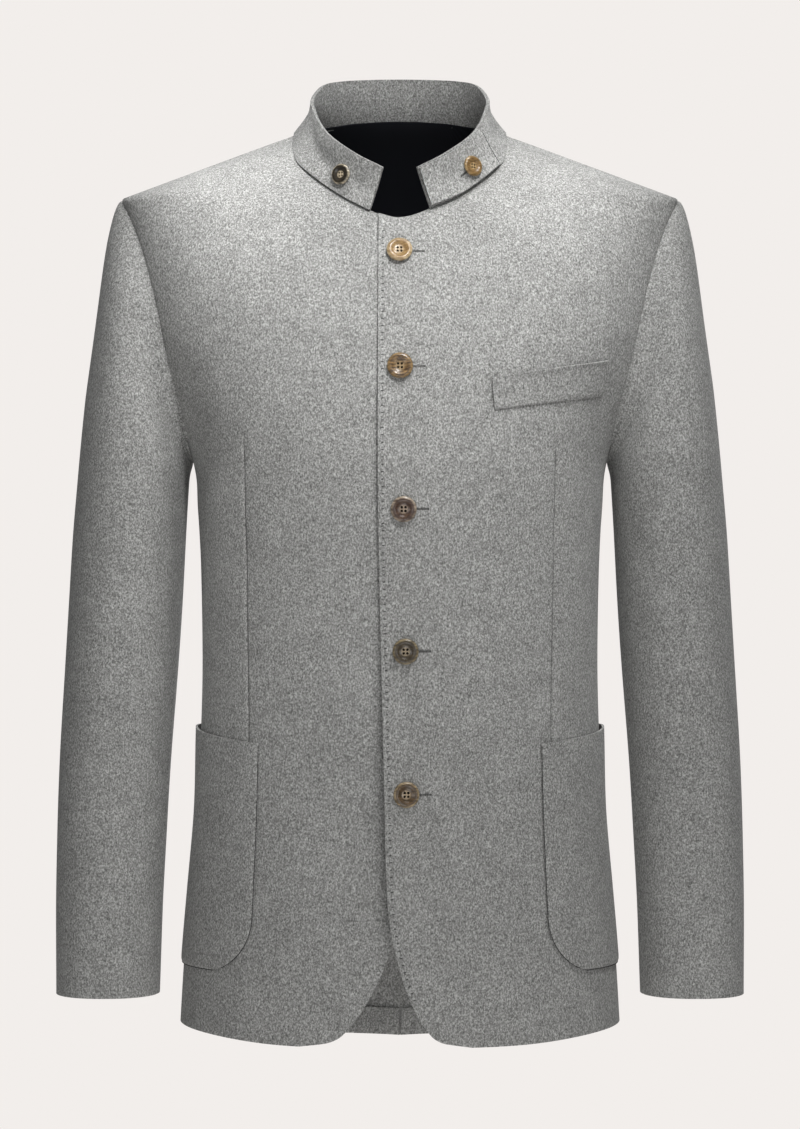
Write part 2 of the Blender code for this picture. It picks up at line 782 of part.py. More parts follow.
def build_buttons(horn, collection, cutters):
    reach = FRONT_BUTTON_RADIUS
    for number, button in enumerate(FRONT_BUTTONS, 1):
        across = on_left_front(button.x + reach, button.z) - on_left_front(button.x - reach, button.z)
        up = on_left_front(button.x, button.z + reach) - on_left_front(button.x, button.z - reach)
        facing = across.cross(up).normalized()
        place = on_left_front(button.x, button.z) + facing * FRONT_BUTTON_SEAT
        add_button("button_front_" + str(number), place, facing, reach, horn, collection, cutters)
    at, height = COLLAR_BUTTON
    place = on_collar(at, height, "right", COLLAR_CLOTH + COLLAR_BUTTON_SEAT)
    facing = collar_normal(at, height, "right")
    for turned in (place, facing):
        turned.x = -turned.x
    add_button("button_collar", place, facing, COLLAR_BUTTON_RADIUS, horn, collection, cutters)
    at, height = TAB_BUTTON
    place = on_collar(at, height, "left", COLLAR_CLOTH + LAID_ON + TAB_CLOTH + COLLAR_BUTTON_SEAT)
    facing = collar_normal(at, height, "left")
    add_button("button_tab", place, facing, COLLAR_BUTTON_RADIUS, horn, collection, cutters)


def main():
    clear_scene()
    parts = new_collection("loden_jacket")
    cutters = new_collection("cutters")
    cloth = make_material(LODEN)
    build_body(cloth, make_material(LINING), parts)
    build_sleeves(cloth, parts)
    build_collar(cloth, parts)
    build_buttons(make_material(HORN), parts, cutters)


main()
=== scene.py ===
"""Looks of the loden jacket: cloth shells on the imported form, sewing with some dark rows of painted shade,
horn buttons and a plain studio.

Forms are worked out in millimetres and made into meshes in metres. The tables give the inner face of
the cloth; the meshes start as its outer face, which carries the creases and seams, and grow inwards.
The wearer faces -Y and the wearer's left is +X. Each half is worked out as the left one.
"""
import logging
import math
from dataclasses import dataclass
from enum import Enum
from typing import Callable, NamedTuple, Sequence

import bmesh
import bpy
import numpy as np
from mathutils import Matrix, Vector


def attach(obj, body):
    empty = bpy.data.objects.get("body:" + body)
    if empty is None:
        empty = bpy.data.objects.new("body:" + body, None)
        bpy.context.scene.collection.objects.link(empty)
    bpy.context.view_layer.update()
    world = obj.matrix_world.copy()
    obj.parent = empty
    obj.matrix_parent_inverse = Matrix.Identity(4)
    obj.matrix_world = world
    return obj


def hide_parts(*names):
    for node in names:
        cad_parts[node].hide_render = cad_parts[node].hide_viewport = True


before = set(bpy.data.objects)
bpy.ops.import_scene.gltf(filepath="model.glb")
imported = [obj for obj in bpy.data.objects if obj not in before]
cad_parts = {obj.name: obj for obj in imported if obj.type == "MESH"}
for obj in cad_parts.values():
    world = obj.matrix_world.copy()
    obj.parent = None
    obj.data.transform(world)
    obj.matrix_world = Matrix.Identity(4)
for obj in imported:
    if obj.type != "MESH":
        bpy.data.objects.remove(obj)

MM = 0.001
BODY = "root"
LOG = logging.getLogger("loden_jacket")
TINY = 1e-9
LEAST_PARTS = 3.0
CLEAR_SHARE = 0.6
CREASE_FADE = 1.3
SEAM_SAMPLES = 41
LOOP_SAMPLES = 121
UP = np.array((0.0, 0.0, 1.0))
FLAT = (1.0, 1.0, 0.0)
Array = np.ndarray
Place = Callable[[Array, Array], Array]
Pair = tuple[float, float]
Grid = tuple[int, int]
Mesh = bmesh.types.BMesh
Material = bpy.types.Material
Socket = bpy.types.NodeSocket


def table(kind: type, *rows: tuple) -> tuple:
    """Table of plain rows, each made into one of a kind."""
    return tuple(kind(*row) for row in rows)


class Side(Enum):
    """Side of the wearer, with the sign of its X."""

    LEFT = 1.0
    RIGHT = -1.0

    @property
    def word(self) -> str:
        """Word for the side, as the nodes' names have it."""
        return self.name.lower()


class Face(Enum):
    """Front or back of the body, with the sign of its Y."""

    FRONT = -1.0
    BACK = 1.0


class Slot(Enum):
    """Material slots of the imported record."""

    LODEN = "loden_cloth"
    LINING = "lining_cloth"
    HORN = "horn"


def mix(start: Array, end: Array, share: Array) -> Array:
    """Value between two others, by a share."""
    return start + (end - start) * share


def ease(start: float, end: float, value: Array) -> Array:
    """Smooth step from 0 at start to 1 at end."""
    share = np.clip((value - start) / (end - start), 0.0, 1.0)
    return share * share * (3.0 - 2.0 * share)


def unit(vectors: Array) -> Array:
    """Vectors of length 1 along the given ones."""
    return vectors / np.maximum(np.linalg.norm(vectors, axis=-1, keepdims=True), TINY)


def mirrored(points: Array) -> Array:
    """Points with their X turned over."""
    return points * np.array((-1.0, 1.0, 1.0))


def densified(
    start: float, end: float, count: int, fine_at: Sequence[float], steps: Sequence[float]
) -> Array:
    """Even values between two ends, with finer ones close to some places.

    Args:
        start: First value.
        end: Last value.
        count: Number of even steps.
        fine_at: Places that get finer values on both sides.
        steps: Distances of the finer values from each place.

    Returns:
        The values in order, none closer together than a third of the finest step.
    """
    least = min(steps) / LEAST_PARTS
    kept = {start, end, *fine_at}
    kept.update(p + s * d for p in fine_at for d in steps for s in (-1, 1) if start < p + s * d < end)
    for value in np.linspace(start, end, count + 1):
        if all(abs(value - other) > max(steps) * CLEAR_SHARE for other in fine_at):
            kept.add(float(value))
    ordered = sorted(kept)
    chosen = [ordered[0]]
    for value in ordered[1:]:
        if value - chosen[-1] > least:
            chosen.append(value)
    chosen[-1] = end
    return np.array(chosen)


class Weave(NamedTuple):
    """How close a piece's grid is: its even steps, and the finer ones beside its edges."""

    across: int
    fine_across: tuple
    along: int
    fine_along: tuple

    def columns(self, start: float, end: float) -> Array:
        """Columns of the grid between two edges."""
        return densified(start, end, self.across, (start, end), self.fine_across)

    def rows(self, start: float, end: float) -> Array:
        """Rows of the grid between two edges."""
        return densified(start, end, self.along, (start, end), self.fine_along)


class Curve:
    """Smooth curve through the rows of a short table."""

    def __init__(self, rows: Sequence[NamedTuple], column: str) -> None:
        """Reads one named column of a table over its first one.

        Args:
            rows: Rows of the table, each with a column named at.
            column: Name of the column to read.
        """
        ordered = sorted(rows, key=lambda row: row.at)
        self.places = np.array([row.at for row in ordered], float)
        self.values = np.array([getattr(row, column) for row in ordered], float)
        index = np.arange(len(ordered))
        before = np.maximum(index - 1, 0)
        after = np.minimum(index + 1, len(ordered) - 1)
        self.slopes = (self.values[after] - self.values[before]) / (self.places[after] - self.places[before])

    def __call__(self, at: Array) -> Array:
        """Values of the curve at some places."""
        at = np.clip(at, self.places[0], self.places[-1])
        low = np.clip(np.searchsorted(self.places, at, side="right") - 1, 0, len(self.places) - 2)
        run = self.places[low + 1] - self.places[low]
        share = (at - self.places[low]) / run
        square, cube = share**2, share**3
        start = (2 * cube - 3 * square + 1) * self.values[low]
        start = start + (cube - 2 * square + share) * run * self.slopes[low]
        rest = (3 * square - 2 * cube) * self.values[low + 1]
        return start + rest + (cube - square) * run * self.slopes[low + 1]


class SeamLine:
    """Line of a seam or an edge, for distances to it."""

    def __init__(self, points: Array) -> None:
        """Keeps the line's points."""
        self.points = points

    def distance(self, places: Array) -> Array:
        """Distance of each place from the line."""
        start, end = self.points[:-1], self.points[1:]
        run = end - start
        away = places[:, None, :] - start[None]
        share = np.clip((away * run).sum(-1) / np.maximum((run * run).sum(-1), TINY), 0.0, 1.0)
        return np.linalg.norm(away - share[..., None] * run, axis=-1).min(1)


class Crease(NamedTuple):
    """Soft trough in the cloth between two places of its panel, or a ridge where its depth is under 0."""

    start: Pair
    end: Pair
    width: float
    depth: float
    bow: float = 0.0

    def height(self, across: Array, along: Array) -> Array:
        """Height that the crease gives the cloth at some places of its panel."""
        run = np.subtract(self.end, self.start)
        length = float(np.hypot(*run))
        from_start = np.stack([across - self.start[0], along - self.start[1]], -1)
        share = np.clip(from_start @ run / length**2, 0.0, 1.0)
        aside = (from_start[..., 0] * run[1] - from_start[..., 1] * run[0]) / length
        aside = aside - self.bow * 4.0 * share * (1.0 - share)
        return -self.depth * np.sin(np.pi * share) ** CREASE_FADE * np.exp(-((aside / self.width) ** 2))


class Wave(NamedTuple):
    """Slow unevenness of the cloth, as one sine over its panel."""

    across: float
    along: float
    phase: float
    depth: float


@dataclass(frozen=True)
class Relief:
    """Creases and slow unevenness of one panel."""

    creases: tuple[Crease, ...]
    waves: tuple[Wave, ...] = (
        Wave(0.031, 0.011, 0.4, 0.30), Wave(-0.017, 0.026, 1.9, 0.28), Wave(0.052, -0.019, 4.1, 0.16),
    )

    def height(self, across: Array, along: Array) -> Array:
        """Height of the cloth over its plain form at some places of the panel."""
        total = sum(crease.height(across, along) for crease in self.creases)
        for wave in self.waves:
            total = total + wave.depth * np.sin(wave.across * across + wave.along * along + wave.phase)
        return total


def creased(*rows: tuple) -> Relief:
    """Relief with creases from rows of start, end, width, depth and bow."""
    return Relief(table(Crease, *rows))


# Finishes


class Shader:
    """Principled material that is put together node by node."""

    def __init__(self, name: str) -> None:
        """Starts the material with its shader."""
        self.material = bpy.data.materials.new(name)
        self.material.use_nodes = True
        self.tree = self.material.node_tree
        self.surface = self.tree.nodes["Principled BSDF"]

    def set(self, **values: object) -> None:
        """Sets sockets of the shader that are the same all over."""
        for word, value in values.items():
            self.surface.inputs[word.replace("_", " ")].default_value = value

    def node(
        self, kind: str, links: dict | None = None, values: dict | None = None, **options: object
    ) -> bpy.types.Node:
        """Adds a node.

        Args:
            kind: Type of the node.
            links: Sockets that other nodes feed, by name or number.
            values: Sockets with a fixed value, by name or number.
            options: Settings of the node itself.

        Returns:
            The new node.
        """
        made = self.tree.nodes.new(kind)
        for word, value in options.items():
            setattr(made, word, value)
        for key, value in (values or {}).items():
            made.inputs[key].default_value = value
        for key, value in (links or {}).items():
            self.tree.links.new(value, made.inputs[key])
        return made

    def feed(self, socket: str, source: Socket) -> None:
        """Links a node's output to the shader."""
        self.tree.links.new(source, self.surface.inputs[socket])

    def place(self) -> Socket:
        """Coordinates of the object."""
        return self.node("ShaderNodeTexCoord").outputs["Object"]

    def noise(self, vector: Socket, scale: float, detail: float, roughness: float) -> Socket:
        """Value of a noise over some coordinates."""
        values = {"Scale": scale, "Detail": detail, "Roughness": roughness}
        return self.node("ShaderNodeTexNoise", {"Vector": vector}, values).outputs["Fac"]

    def ramp(self, value: Socket, *stops: tuple[float, tuple]) -> Socket:
        """Colour that changes with a value.

        Args:
            value: Output that drives the colour.
            stops: Places and their colours, in order.

        Returns:
            The colour output.
        """
        node = self.node("ShaderNodeValToRGB", {"Fac": value})
        elements = node.color_ramp.elements
        while len(elements) < len(stops):
            elements.new(0.5)
        for element, (place, colour) in zip(elements, stops):
            element.position = place
            element.color = (*colour, 1.0)
        return node.outputs["Color"]

    def levels(self, value: Socket, stops: Sequence[Pair]) -> Socket:
        """Grey that changes with a value, from places and their levels."""
        return self.ramp(value, *((place, (level,) * 3) for place, level in stops))

    def blend(self, mode: str, share: object, first: object, second: object) -> Socket:
        """Mixes two colours, each an output or a fixed colour.

        Args:
            mode: Blend mode.
            share: Share of the second colour, an output or a number.
            first: First colour.
            second: Second colour.

        Returns:
            The colour output.
        """
        node = self.node("ShaderNodeMix", data_type="RGBA", blend_type=mode)
        share_at, first_at, second_at, result_at = 0, 6, 7, 2
        for index, value in ((share_at, share), (first_at, first), (second_at, second)):
            if isinstance(value, Socket):
                self.tree.links.new(value, node.inputs[index])
            elif index == share_at:
                node.inputs[index].default_value = value
            else:
                node.inputs[index].default_value = (*value, 1.0)
        return node.outputs[result_at]

    def bump(self, height: Socket, strength: float, distance: float, below: Socket | None = None) -> Socket:
        """Bump from a height, over another bump if one is given."""
        links = {"Height": height}
        if below is not None:
            links["Normal"] = below
        values = {"Strength": strength, "Distance": distance}
        return self.node("ShaderNodeBump", links, values).outputs["Normal"]


@dataclass(frozen=True)
class LodenFinish:
    """Milled grey melange wool: dark and pale fibres, a soft nap and a little sheen."""

    name: str = "grey_loden"
    dark: tuple = (0.105, 0.105, 0.1)
    middle: tuple = (0.28, 0.28, 0.271)
    pale: tuple = (0.55, 0.55, 0.537)
    fibre_noise: tuple = (850.0, 3.0, 0.7)
    tuft_noise: tuple = (540.0, 2.0, 0.6)
    cloud_noise: tuple = (48.0, 3.0, 0.55)
    fibre_stops: tuple = (0.32, 0.5, 0.68)
    tuft_levels: tuple = ((0.3, 0.83), (0.7, 1.17))
    cloud_levels: tuple = ((0.3, 0.92), (0.7, 1.08))
    tuft_bump: Pair = (0.15, 0.0006)
    fibre_bump: Pair = (0.38, 0.0004)
    nap_fall: float = 0.7
    sheen: float = 0.12
    sheen_roughness: float = 0.5
    roughness: float = 0.95
    gloss: float = 0.2

    def material(self) -> Material:
        """Builds the cloth's material."""
        shader = Shader(self.name)
        place = shader.place()
        nap = shader.node("ShaderNodeMapping", {"Vector": place}, {"Scale": (1.0, 1.0, self.nap_fall)})
        nap = nap.outputs["Vector"]
        fibres = shader.noise(nap, *self.fibre_noise)
        tufts = shader.noise(nap, *self.tuft_noise)
        clouds = shader.noise(place, *self.cloud_noise)
        colour = shader.ramp(fibres, *zip(self.fibre_stops, (self.dark, self.middle, self.pale)))
        for value, levels in ((tufts, self.tuft_levels), (clouds, self.cloud_levels)):
            colour = shader.blend("MULTIPLY", 1.0, colour, shader.levels(value, levels))
        shader.feed("Base Color", colour)
        coarse = shader.bump(tufts, *self.tuft_bump)
        shader.feed("Normal", shader.bump(fibres, *self.fibre_bump, coarse))
        shader.set(Roughness=self.roughness, Specular_IOR_Level=self.gloss)
        shader.set(Sheen_Weight=self.sheen, Sheen_Roughness=self.sheen_roughness)
        return shader.material


@dataclass(frozen=True)
class LiningFinish:
    """Smooth near-black lining with a fine twill."""

    name: str = "dark_lining"
    dark: tuple = (0.0026, 0.0032, 0.0052)
    pale: tuple = (0.005, 0.006, 0.0095)
    twill_scale: float = 520.0
    twill_bend: float = 0.6
    twill_stops: Pair = (0.2, 0.8)
    twill_bump: Pair = (0.15, 0.0002)
    roughness: float = 0.6
    gloss: float = 0.2
    sheen: float = 0.03

    def material(self) -> Material:
        """Builds the lining's material."""
        shader = Shader(self.name)
        links = {"Vector": shader.place()}
        values = {"Scale": self.twill_scale, "Distortion": self.twill_bend, "Detail": 1.0}
        twill = shader.node("ShaderNodeTexWave", links, values, bands_direction="DIAGONAL").outputs["Fac"]
        shader.feed("Base Color", shader.ramp(twill, *zip(self.twill_stops, (self.dark, self.pale))))
        shader.feed("Normal", shader.bump(twill, *self.twill_bump))
        shader.set(Roughness=self.roughness, Specular_IOR_Level=self.gloss, Sheen_Weight=self.sheen)
        return shader.material


@dataclass(frozen=True)
class HornFinish:
    """Polished horn with streaks, a worn rim and a pale middle round the thread holes."""

    name: str
    field: tuple
    streak: tuple
    rim: tuple
    middle: tuple
    turn: float
    streaks: float = 0.5
    streak_scale: float = 3.2
    streak_noise: Pair = (5.0, 0.62)
    streak_long: float = 3.4
    streak_shift: float = 0.16
    streak_span: Pair = (-0.06, 0.12)
    fleck_finer: float = 9.0
    fleck_noise: Pair = (2.0, 0.6)
    fleck_levels: tuple = ((0.35, 0.72), (0.65, 1.2))
    middle_levels: tuple = ((0.13, 1.0), (0.2, 0.0))
    worn_levels: tuple = ((0.4, 0.0), (0.455, 1.0))
    patchy_levels: tuple = ((0.38, 0.15), (0.6, 1.0))
    streak_bump: Pair = (0.12, 0.0004)
    roughness: float = 0.36
    coat: Pair = (0.25, 0.2)

    def material(self) -> Material:
        """Builds the button's material, on a map whose middle is the button's axis."""
        shader = Shader(self.name)
        flat = shader.node("ShaderNodeTexCoord").outputs["UV"]
        values = {"Location": (-0.5, -0.5, 0.0)}
        centred = shader.node("ShaderNodeMapping", {"Vector": flat}, values).outputs["Vector"]
        radius = shader.node("ShaderNodeVectorMath", {0: centred}, operation="LENGTH").outputs["Value"]
        values = {"Rotation": (0.0, 0.0, self.turn), "Scale": (1.0, self.streak_long, 1.0)}
        values["Location"] = (self.turn, 0.0, 0.0)
        grain = shader.node("ShaderNodeMapping", {"Vector": centred}, values).outputs["Vector"]
        flame = shader.noise(grain, self.streak_scale, *self.streak_noise)
        speck = shader.noise(grain, self.streak_scale * self.fleck_finer, *self.fleck_noise)
        low = 0.5 + self.streak_shift * (0.5 - self.streaks)
        stops = [low + step for step in self.streak_span]
        colour = shader.ramp(flame, *zip(stops, (self.field, self.streak)))
        colour = shader.blend("MULTIPLY", 1.0, colour, shader.levels(speck, self.fleck_levels))
        colour = shader.blend("MIX", shader.levels(radius, self.middle_levels), colour, self.middle)
        worn, patchy = shader.levels(radius, self.worn_levels), shader.levels(flame, self.patchy_levels)
        worn = shader.blend("MULTIPLY", 1.0, worn, patchy)
        colour = shader.blend("MIX", worn, colour, self.rim)
        shader.feed("Base Color", colour)
        shader.feed("Normal", shader.bump(flame, *self.streak_bump))
        shader.set(Roughness=self.roughness, Coat_Weight=self.coat[0], Coat_Roughness=self.coat[1])
        return shader.material


@dataclass(frozen=True)
class ThreadFinish:
    """Sewing thread with a fine twist."""

    name: str
    colour: tuple
    darker: float = 0.7
    twist_noise: tuple = (2600.0, 2.0, 0.5)
    twist_stops: Pair = (0.35, 0.65)
    twist_bump: Pair = (0.3, 0.0002)
    roughness: float = 0.8
    gloss: float = 0.25

    def material(self) -> Material:
        """Builds the thread's material."""
        shader = Shader(self.name)
        twist = shader.noise(shader.place(), *self.twist_noise)
        darker = tuple(self.darker * part for part in self.colour)
        shader.feed("Base Color", shader.ramp(twist, *zip(self.twist_stops, (darker, self.colour))))
        shader.feed("Normal", shader.bump(twist, *self.twist_bump))
        shader.set(Roughness=self.roughness, Specular_IOR_Level=self.gloss)
        return shader.material


@dataclass(frozen=True)
class FloorFinish:
    """Plain pale floor."""

    name: str = "pale_floor"
    colour: tuple = (0.84, 0.81, 0.79)
    darker: float = 0.97
    cloud_noise: tuple = (3.0, 2.0, 0.5)
    cloud_stops: Pair = (0.3, 0.7)
    glow: float = 0.5
    roughness: float = 0.9
    gloss: float = 0.1

    def material(self) -> Material:
        """Builds the floor's material."""
        shader = Shader(self.name)
        cloud = shader.noise(shader.place(), *self.cloud_noise)
        darker = tuple(self.darker * part for part in self.colour)
        shader.feed("Base Color", shader.ramp(cloud, *zip(self.cloud_stops, (darker, self.colour))))
        shader.set(Roughness=self.roughness, Specular_IOR_Level=self.gloss)
        shader.set(Emission_Color=(*self.colour, 1.0), Emission_Strength=self.glow)
        return shader.material


# Body form


class Section(NamedTuple):
    """Level section of the body form."""

    at: float
    width: float
    front: float
    back: float


class Level(NamedTuple):
    """Height at an angle round the body."""

    at: float
    level: float


class Neck(NamedTuple):
    """Place of a neckline as seen from the front."""

    at: float
    x: float
    z: float


@dataclass
class BodyForm:
    """Form of the jacket's body, the inner face of its cloth."""

    sections: tuple[Section, ...] = table(
        Section, (-760, 180, 126, 122), (-680, 175, 124, 119), (-620, 170, 122, 114), (-560, 165, 120, 107),
        (-490, 161, 119, 99), (-430, 159, 119, 97), (-360, 160, 124, 103), (-310, 163, 129, 112),
        (-265, 168, 132, 120), (-180, 198, 123, 119), (-120, 212, 108, 112), (-78, 221, 88, 101),
        (-56, 226, 72, 95), (-24, 150, 43, 82), (-8, 104, 15, 75), (0, 82, 4, 71), (17, 66, 2, 60),
    )
    hem_levels: tuple[Level, ...] = table(
        Level, (0, -733), (40, -732), (70, -726), (90, -725), (112, -731), (140, -748), (180, -754),
    )
    roundness: float = 2.4
    neck_half: float = 83.0
    neck_z: float = -2.0
    tip_half: float = 226.0
    tip_z: float = -56.0
    neck_taper: float = 1.05
    underarm_z: float = -268.0
    front_reach: float = -15.0
    back_reach: float = 16.0
    loop_skew: float = 0.25
    pitch_turn: float = 135.0
    seam_turn: float = 210.0
    slope_step: float = 0.5
    cloth: float = 2.0
    cloth_edge: float = 0.5
    seam: float = 0.12
    middle_seam: float = 0.04
    laid_on: float = 0.7

    def __post_init__(self) -> None:
        """Reads the tables."""
        low = [row for row in self.sections if row.at <= self.tip_z]
        self.low_width = Curve(low, "width")
        self.depths = {face: Curve(self.sections, face.name.lower()) for face in Face}
        self.hem = Curve(self.hem_levels, "level")

    def half_width(self, z: Array) -> Array:
        """Half width of the form at some heights."""
        shoulder = mix(self.tip_half, self.neck_half, (z - self.tip_z) / (self.neck_z - self.tip_z))
        above = self.neck_half - self.neck_taper * (z - self.neck_z)
        upper = np.where(z <= self.neck_z, shoulder, above)
        return np.where(z <= self.tip_z, self.low_width(z), upper)

    def depth(self, z: Array, front: Array) -> Array:
        """Depth of the form in front of its middle plane, or behind it."""
        value = np.where(front, self.depths[Face.FRONT](z), self.depths[Face.BACK](z))
        return np.maximum(value, 1.0)

    def round_point(self, phi: Array, z: Array) -> Array:
        """Points at angles from the centre front towards the left."""
        angle = np.radians(phi)
        across = np.abs(np.sin(angle)) / self.half_width(z)
        along = np.abs(np.cos(angle)) / self.depth(z, np.cos(angle) > 0)
        radius = (across**self.roundness + along**self.roundness) ** (-1.0 / self.roundness)
        return np.stack([radius * np.sin(angle), -radius * np.cos(angle), z + 0.0 * radius], -1)

    def face_point(self, x: Array, z: Array, face: Face) -> Array:
        """Points as seen from the front or the back."""
        share = np.minimum(np.abs(x) / self.half_width(z), 1.0)
        out = self.depth(z, face is Face.FRONT) * (1.0 - share**self.roundness) ** (1.0 / self.roundness)
        return np.stack([x + 0.0 * out, face.value * out, z + 0.0 * out], -1)

    def level(self, points: Array) -> Array:
        """Size of the form's own section through each point, 1 on the form."""
        x, y, z = points[..., 0], points[..., 1], points[..., 2]
        across = np.abs(x) / self.half_width(z)
        along = np.abs(y) / self.depth(z, y < 0)
        return (across**self.roundness + along**self.roundness) ** (1.0 / self.roundness)

    def normal(self, points: Array) -> Array:
        """Outward directions of the form."""
        slopes = []
        for axis in np.eye(3):
            step = axis * self.slope_step
            slopes.append(self.level(points + step) - self.level(points - step))
        return unit(np.stack(slopes, -1))

    def loop(self, turn: Array) -> tuple[Array, Array]:
        """Angle and height of the armhole; turns to 180 run down the front, the others up the back."""
        down = np.radians(np.minimum(turn, 360.0 - turn))
        middle = (self.tip_z + self.underarm_z) / 2
        z = middle + (self.tip_z - middle) * np.cos(down)
        reach = np.where(turn <= 180.0, self.front_reach, self.back_reach)
        return 90.0 + reach * np.sin(down) * (1.0 - self.loop_skew * np.cos(down)), z

    def loop_point(self, turn: Array) -> Array:
        """Points of the armhole seam."""
        return self.round_point(*self.loop(turn))

    def armhole(self) -> SeamLine:
        """The whole armhole seam."""
        return SeamLine(self.loop_point(np.linspace(0.0, 360.0, LOOP_SAMPLES)))

    def shoulder(self) -> SeamLine:
        """The shoulder seam."""
        ends = ((self.neck_half, 0.0, self.neck_z), (self.tip_half, 0.0, self.tip_z))
        return SeamLine(np.array(ends))

    def climb(self, share: Array) -> tuple[Array, Array]:
        """Turns of the armhole and shares of its height, for shares of the way up from its pitch."""
        turn = self.pitch_turn * (1.0 - share)
        full = 1.0 - math.cos(math.radians(self.pitch_turn))
        return turn, 1.0 - (1.0 - np.cos(np.radians(turn))) / full

    def top_line(self, down: Array, x: Array, z: Array) -> tuple[Array, Array]:
        """Places of a panel's upper edge: its neckline, and beyond that the shoulder seam."""
        x = np.where(down > 0, mix(self.neck_half, self.tip_half, down), x)
        return x, np.where(down > 0, mix(self.neck_z, self.tip_z, down), z)

    def between(
        self, ends: Sequence[Array], top: Sequence[Array], rise: Array, bend: Array, face: Face
    ) -> Array:
        """Points of a panel between the underarm and its upper edge.

        Args:
            ends: Points of the underarm's row, of that row's end at the armhole, and of the armhole.
            top: X and Z of the upper edge.
            rise: Share of the way up.
            bend: Share by which each column follows the armhole.
            face: Front or back of the body.

        Returns:
            The points on the plain form.
        """
        low, low_end, hole = ends
        tip = (self.tip_half, self.tip_z)
        x, z = (
            mix(low[:, axis], top[at], rise) + bend * (hole[:, axis] - mix(low_end[:, axis], tip[at], rise))
            for at, axis in enumerate((0, 2))
        )
        return self.face_point(x, z, face)


def angle_of(points: Array) -> Array:
    """Angle of each point from the centre front."""
    return np.degrees(np.arctan2(points[..., 0], -points[..., 1]))


# Cloth walls


class Cut(NamedTuple):
    """Flat size and area of a cloth piece before it was sewn."""

    width: float
    length: float
    area: float


def lay_grid(
    shape: Mesh,
    columns: Array,
    rows: Array,
    place: Place,
    side: Side = Side.LEFT,
    thick: Place | None = None,
) -> None:
    """Adds a grid to a mesh and lays its points on a form.

    Args:
        shape: Mesh that gets the grid.
        columns: Values of the grid's columns.
        rows: Values of the grid's rows.
        place: Gives the points of a form, in millimetres, for columns and rows.
        side: The right side is laid mirrored.
        thick: Gives the share of the full wall for columns and rows, where it isn't the same all over.
    """
    walls = None if thick is None else shape.verts.layers.deform.verify()
    made = bmesh.ops.create_grid(
        shape, x_segments=len(columns) - 1, y_segments=len(rows) - 1, size=1.0, calc_uvs=True
    )
    flat = np.array([vert.co[:2] for vert in made["verts"]])
    column = columns[np.rint((flat[:, 0] + 1.0) / 2.0 * (len(columns) - 1)).astype(int)]
    row = rows[np.rint((flat[:, 1] + 1.0) / 2.0 * (len(rows) - 1)).astype(int)]
    points = place(column, row) * (side.value * MM, MM, MM)
    for vert, point in zip(made["verts"], points):
        vert.co = point
    if thick is not None:
        for vert, share in zip(made["verts"], thick(column, row)):
            vert[walls][0] = float(share)


def new_mesh() -> Mesh:
    """Empty mesh with a map for its faces."""
    shape = bmesh.new()
    shape.loops.layers.uv.new("flat")
    return shape


def as_object(name: str, shape: Mesh) -> bpy.types.Object:
    """Object of a mesh, which is used up."""
    mesh = bpy.data.meshes.new(name)
    shape.to_mesh(mesh)
    shape.free()
    piece = bpy.data.objects.new(name, mesh)
    bpy.context.scene.collection.objects.link(piece)
    return piece


def finish_object(name: str, shape: Mesh, material: Material) -> bpy.types.Object:
    """Makes an object of a mesh, smooth and in one material, and lets it ride on the jacket.

    Args:
        name: Name of the piece.
        shape: Its mesh, which is used up.
        material: Its finish.

    Returns:
        The new object.
    """
    piece = as_object(name, shape)
    piece.data.materials.append(material)
    piece.data.shade_smooth()
    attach(piece, BODY)
    return piece


def report(piece: bpy.types.Object) -> None:
    """Reports a finished piece."""
    LOG.info("%s: %d faces", piece.name, len(piece.data.polygons))


@dataclass(frozen=True)
class ClothWall:
    """How a cloth grid becomes a wall with rounded edges."""

    wall: float
    edge: float
    material: Material
    slot: Slot = Slot.LODEN
    weld: float = 0.00002
    sharp: float = 55.0
    segments: int = 2

    def make(
        self,
        node: str,
        shape: Mesh,
        cut: Cut,
        held: str,
        middle: Pair = (0.0, 0.0),
        **with_sheet: object,
    ) -> bpy.types.Object:
        """Turns a grid outwards, thickens it and lets it stand for its node.

        Args:
            node: Node that the piece replaces.
            shape: Mesh of the outer face.
            cut: Flat cut of the piece; not used.
            held: How the sheet is held; not used.
            middle: Place, in millimetres, that the outer face looks away from.
            with_sheet: More facts for the sheet; not used.

        Returns:
            The finished object.
        """
        bmesh.ops.remove_doubles(shape, verts=shape.verts, dist=self.weld)
        shape.normal_update()
        centre = Vector((middle[0] * MM, middle[1] * MM, 0.0))
        facing = 0.0
        for face in shape.faces:
            away = face.calc_center_median() - centre
            facing += face.calc_area() * (face.normal.x * away.x + face.normal.y * away.y)
        if facing < 0.0:
            bmesh.ops.reverse_faces(shape, faces=shape.faces)
        thinned = shape.verts.layers.deform.active is not None
        piece = finish_object(node + "_cloth", shape, self.material)
        solid = piece.modifiers.new("cloth", "SOLIDIFY")
        solid.thickness = self.wall * MM
        solid.offset = -1.0
        if thinned:
            piece.vertex_groups.new(name="wall")
            solid.vertex_group = "wall"
        rounded = piece.modifiers.new("edge", "BEVEL")
        rounded.limit_method = "ANGLE"
        rounded.angle_limit = math.radians(self.sharp)
        rounded.width = self.edge * MM
        rounded.segments = self.segments
        rounded.profile = 0.5
        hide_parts(node)
        area = sum(face.area for face in piece.data.polygons)
        LOG.info("%s: %d faces, %.4f square metres", piece.name, len(piece.data.polygons), area)
        return piece


class FrontEdge(NamedTuple):
    """How far each front reaches past the centre line."""

    at: float
    left: float
    right: float


